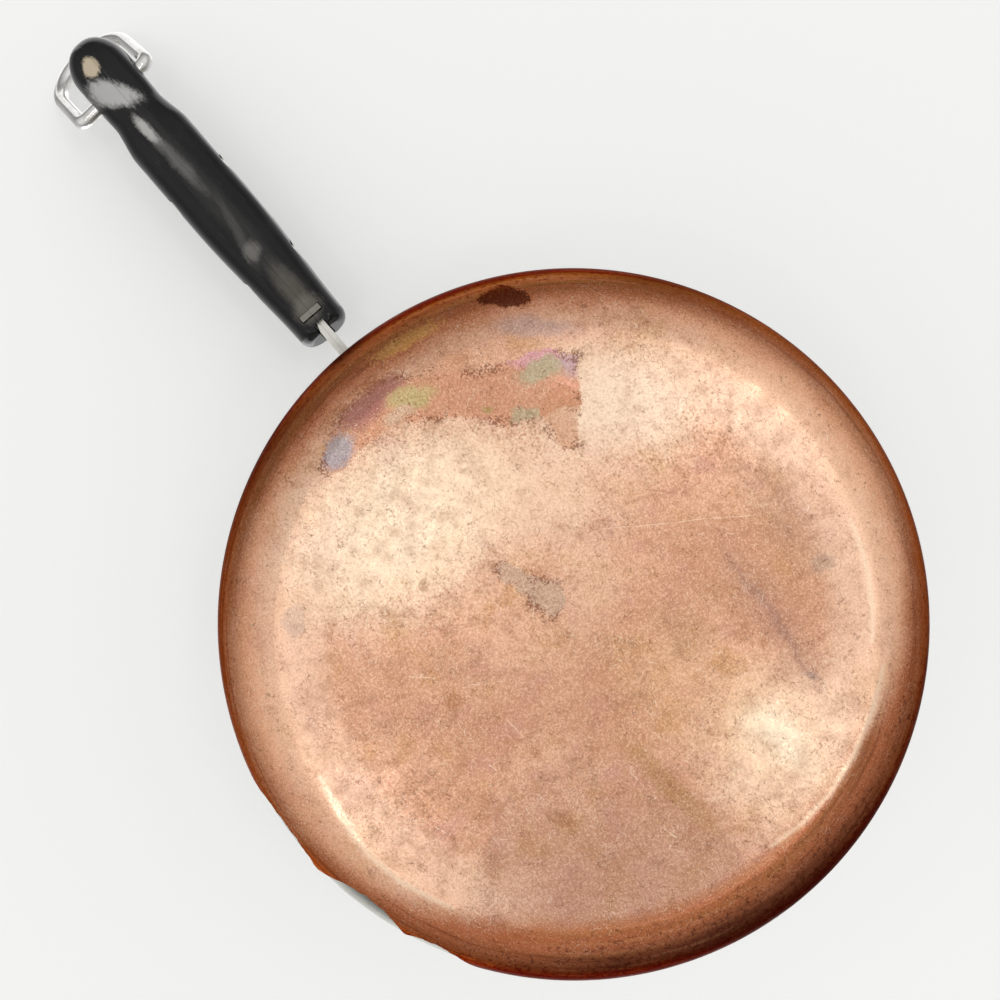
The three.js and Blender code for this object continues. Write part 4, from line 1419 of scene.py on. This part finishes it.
def area_light(name, place, aim, width, watts):
    light = bpy.data.lights.new(name, "AREA")
    light.shape = "RECTANGLE"
    light.size = width
    light.size_y = width
    light.energy = watts
    lamp = add_object(name, light)
    lamp.location = place
    lamp.rotation_euler = (Vector(aim) - Vector(place)).to_track_quat("-Z", "Y").to_euler()
    lamp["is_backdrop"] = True


def make_stage():
    stage_plane("table", TABLE_CORNERS, TABLE_HEIGHT, table_material())
    stage_plane("floor", FLOOR_CORNERS, FLOOR_HEIGHT, floor_material())
    for name, lamp in LAMPS.items():
        area_light(name, *lamp)


def make_camera():
    """Looks straight up, turned as the photo is."""
    data = bpy.data.cameras.new("photo_camera")
    data.lens = LENS
    data.sensor_width = SENSOR
    data.clip_start = 0.01
    camera = add_object("photo_camera", data)
    right = way_at(CAMERA_TURN + 90)
    up = way_at(CAMERA_TURN)
    towards_camera = (0, 0, -1)
    turned = Matrix((right, up, towards_camera)).transposed().to_4x4()
    camera.matrix_world = Matrix.Translation(CAMERA_PLACE) @ turned
    scene.camera = camera


def build():
    stainless = stainless_material()
    copper = copper_material()
    phenolic = phenolic_material()
    bracket = steel_material("bracket_steel", "e4e2da", "cbc8be", 0.34, LUG_PLACE)
    fastener = steel_material("fastener_steel", "c4c2bb", "a09c92", 0.36)
    wire = steel_material("ring_steel", "ecebe8", "d8d6d0", 0.18)
    piece("shell", shell_mesh(), stainless, "pot", "pot_shell")
    for cups in (1, 2):
        figure = figure_mesh(str(cups), mark_height(cups))
        piece(f"figure_{cups}", figure, stainless, "pot", None)
    skin = piece("skin", skin_mesh(), copper, "pot", "copper_base")
    skin.visible_diffuse = False
    sides = {"left": 1, "right": -1}
    for name, side in sides.items():
        piece(f"half_{name}", grip_mesh(side), phenolic, "pot", f"grip_{name}")
    for place, x in SCREW_PLACES.items():
        piece(f"bolt_{place}", screw_mesh(x, 1), fastener, "pot", f"screw_{place}")
        piece(f"nut_{place}", screw_mesh(x, -1), fastener, "pot", f"sleeve_nut_{place}")
    for name, side in sides.items():
        node = f"bracket_{name}"
        strap = piece(f"strap_{name}", bracket_mesh(side), bracket, "pot", node)
        bevelled(strap, STRAP_EDGE)
    piece("ring_of_wire", ring_mesh(), wire, "ring", "hanging_ring")


build()
make_world()
make_stage()
make_camera()
scene.view_settings.view_transform = "Standard"
bpy.context.view_layer.update()
boxes = {"cad": cad_box, "visual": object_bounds()}
{name: [list(corner) for corner in box] for name, box in boxes.items()}
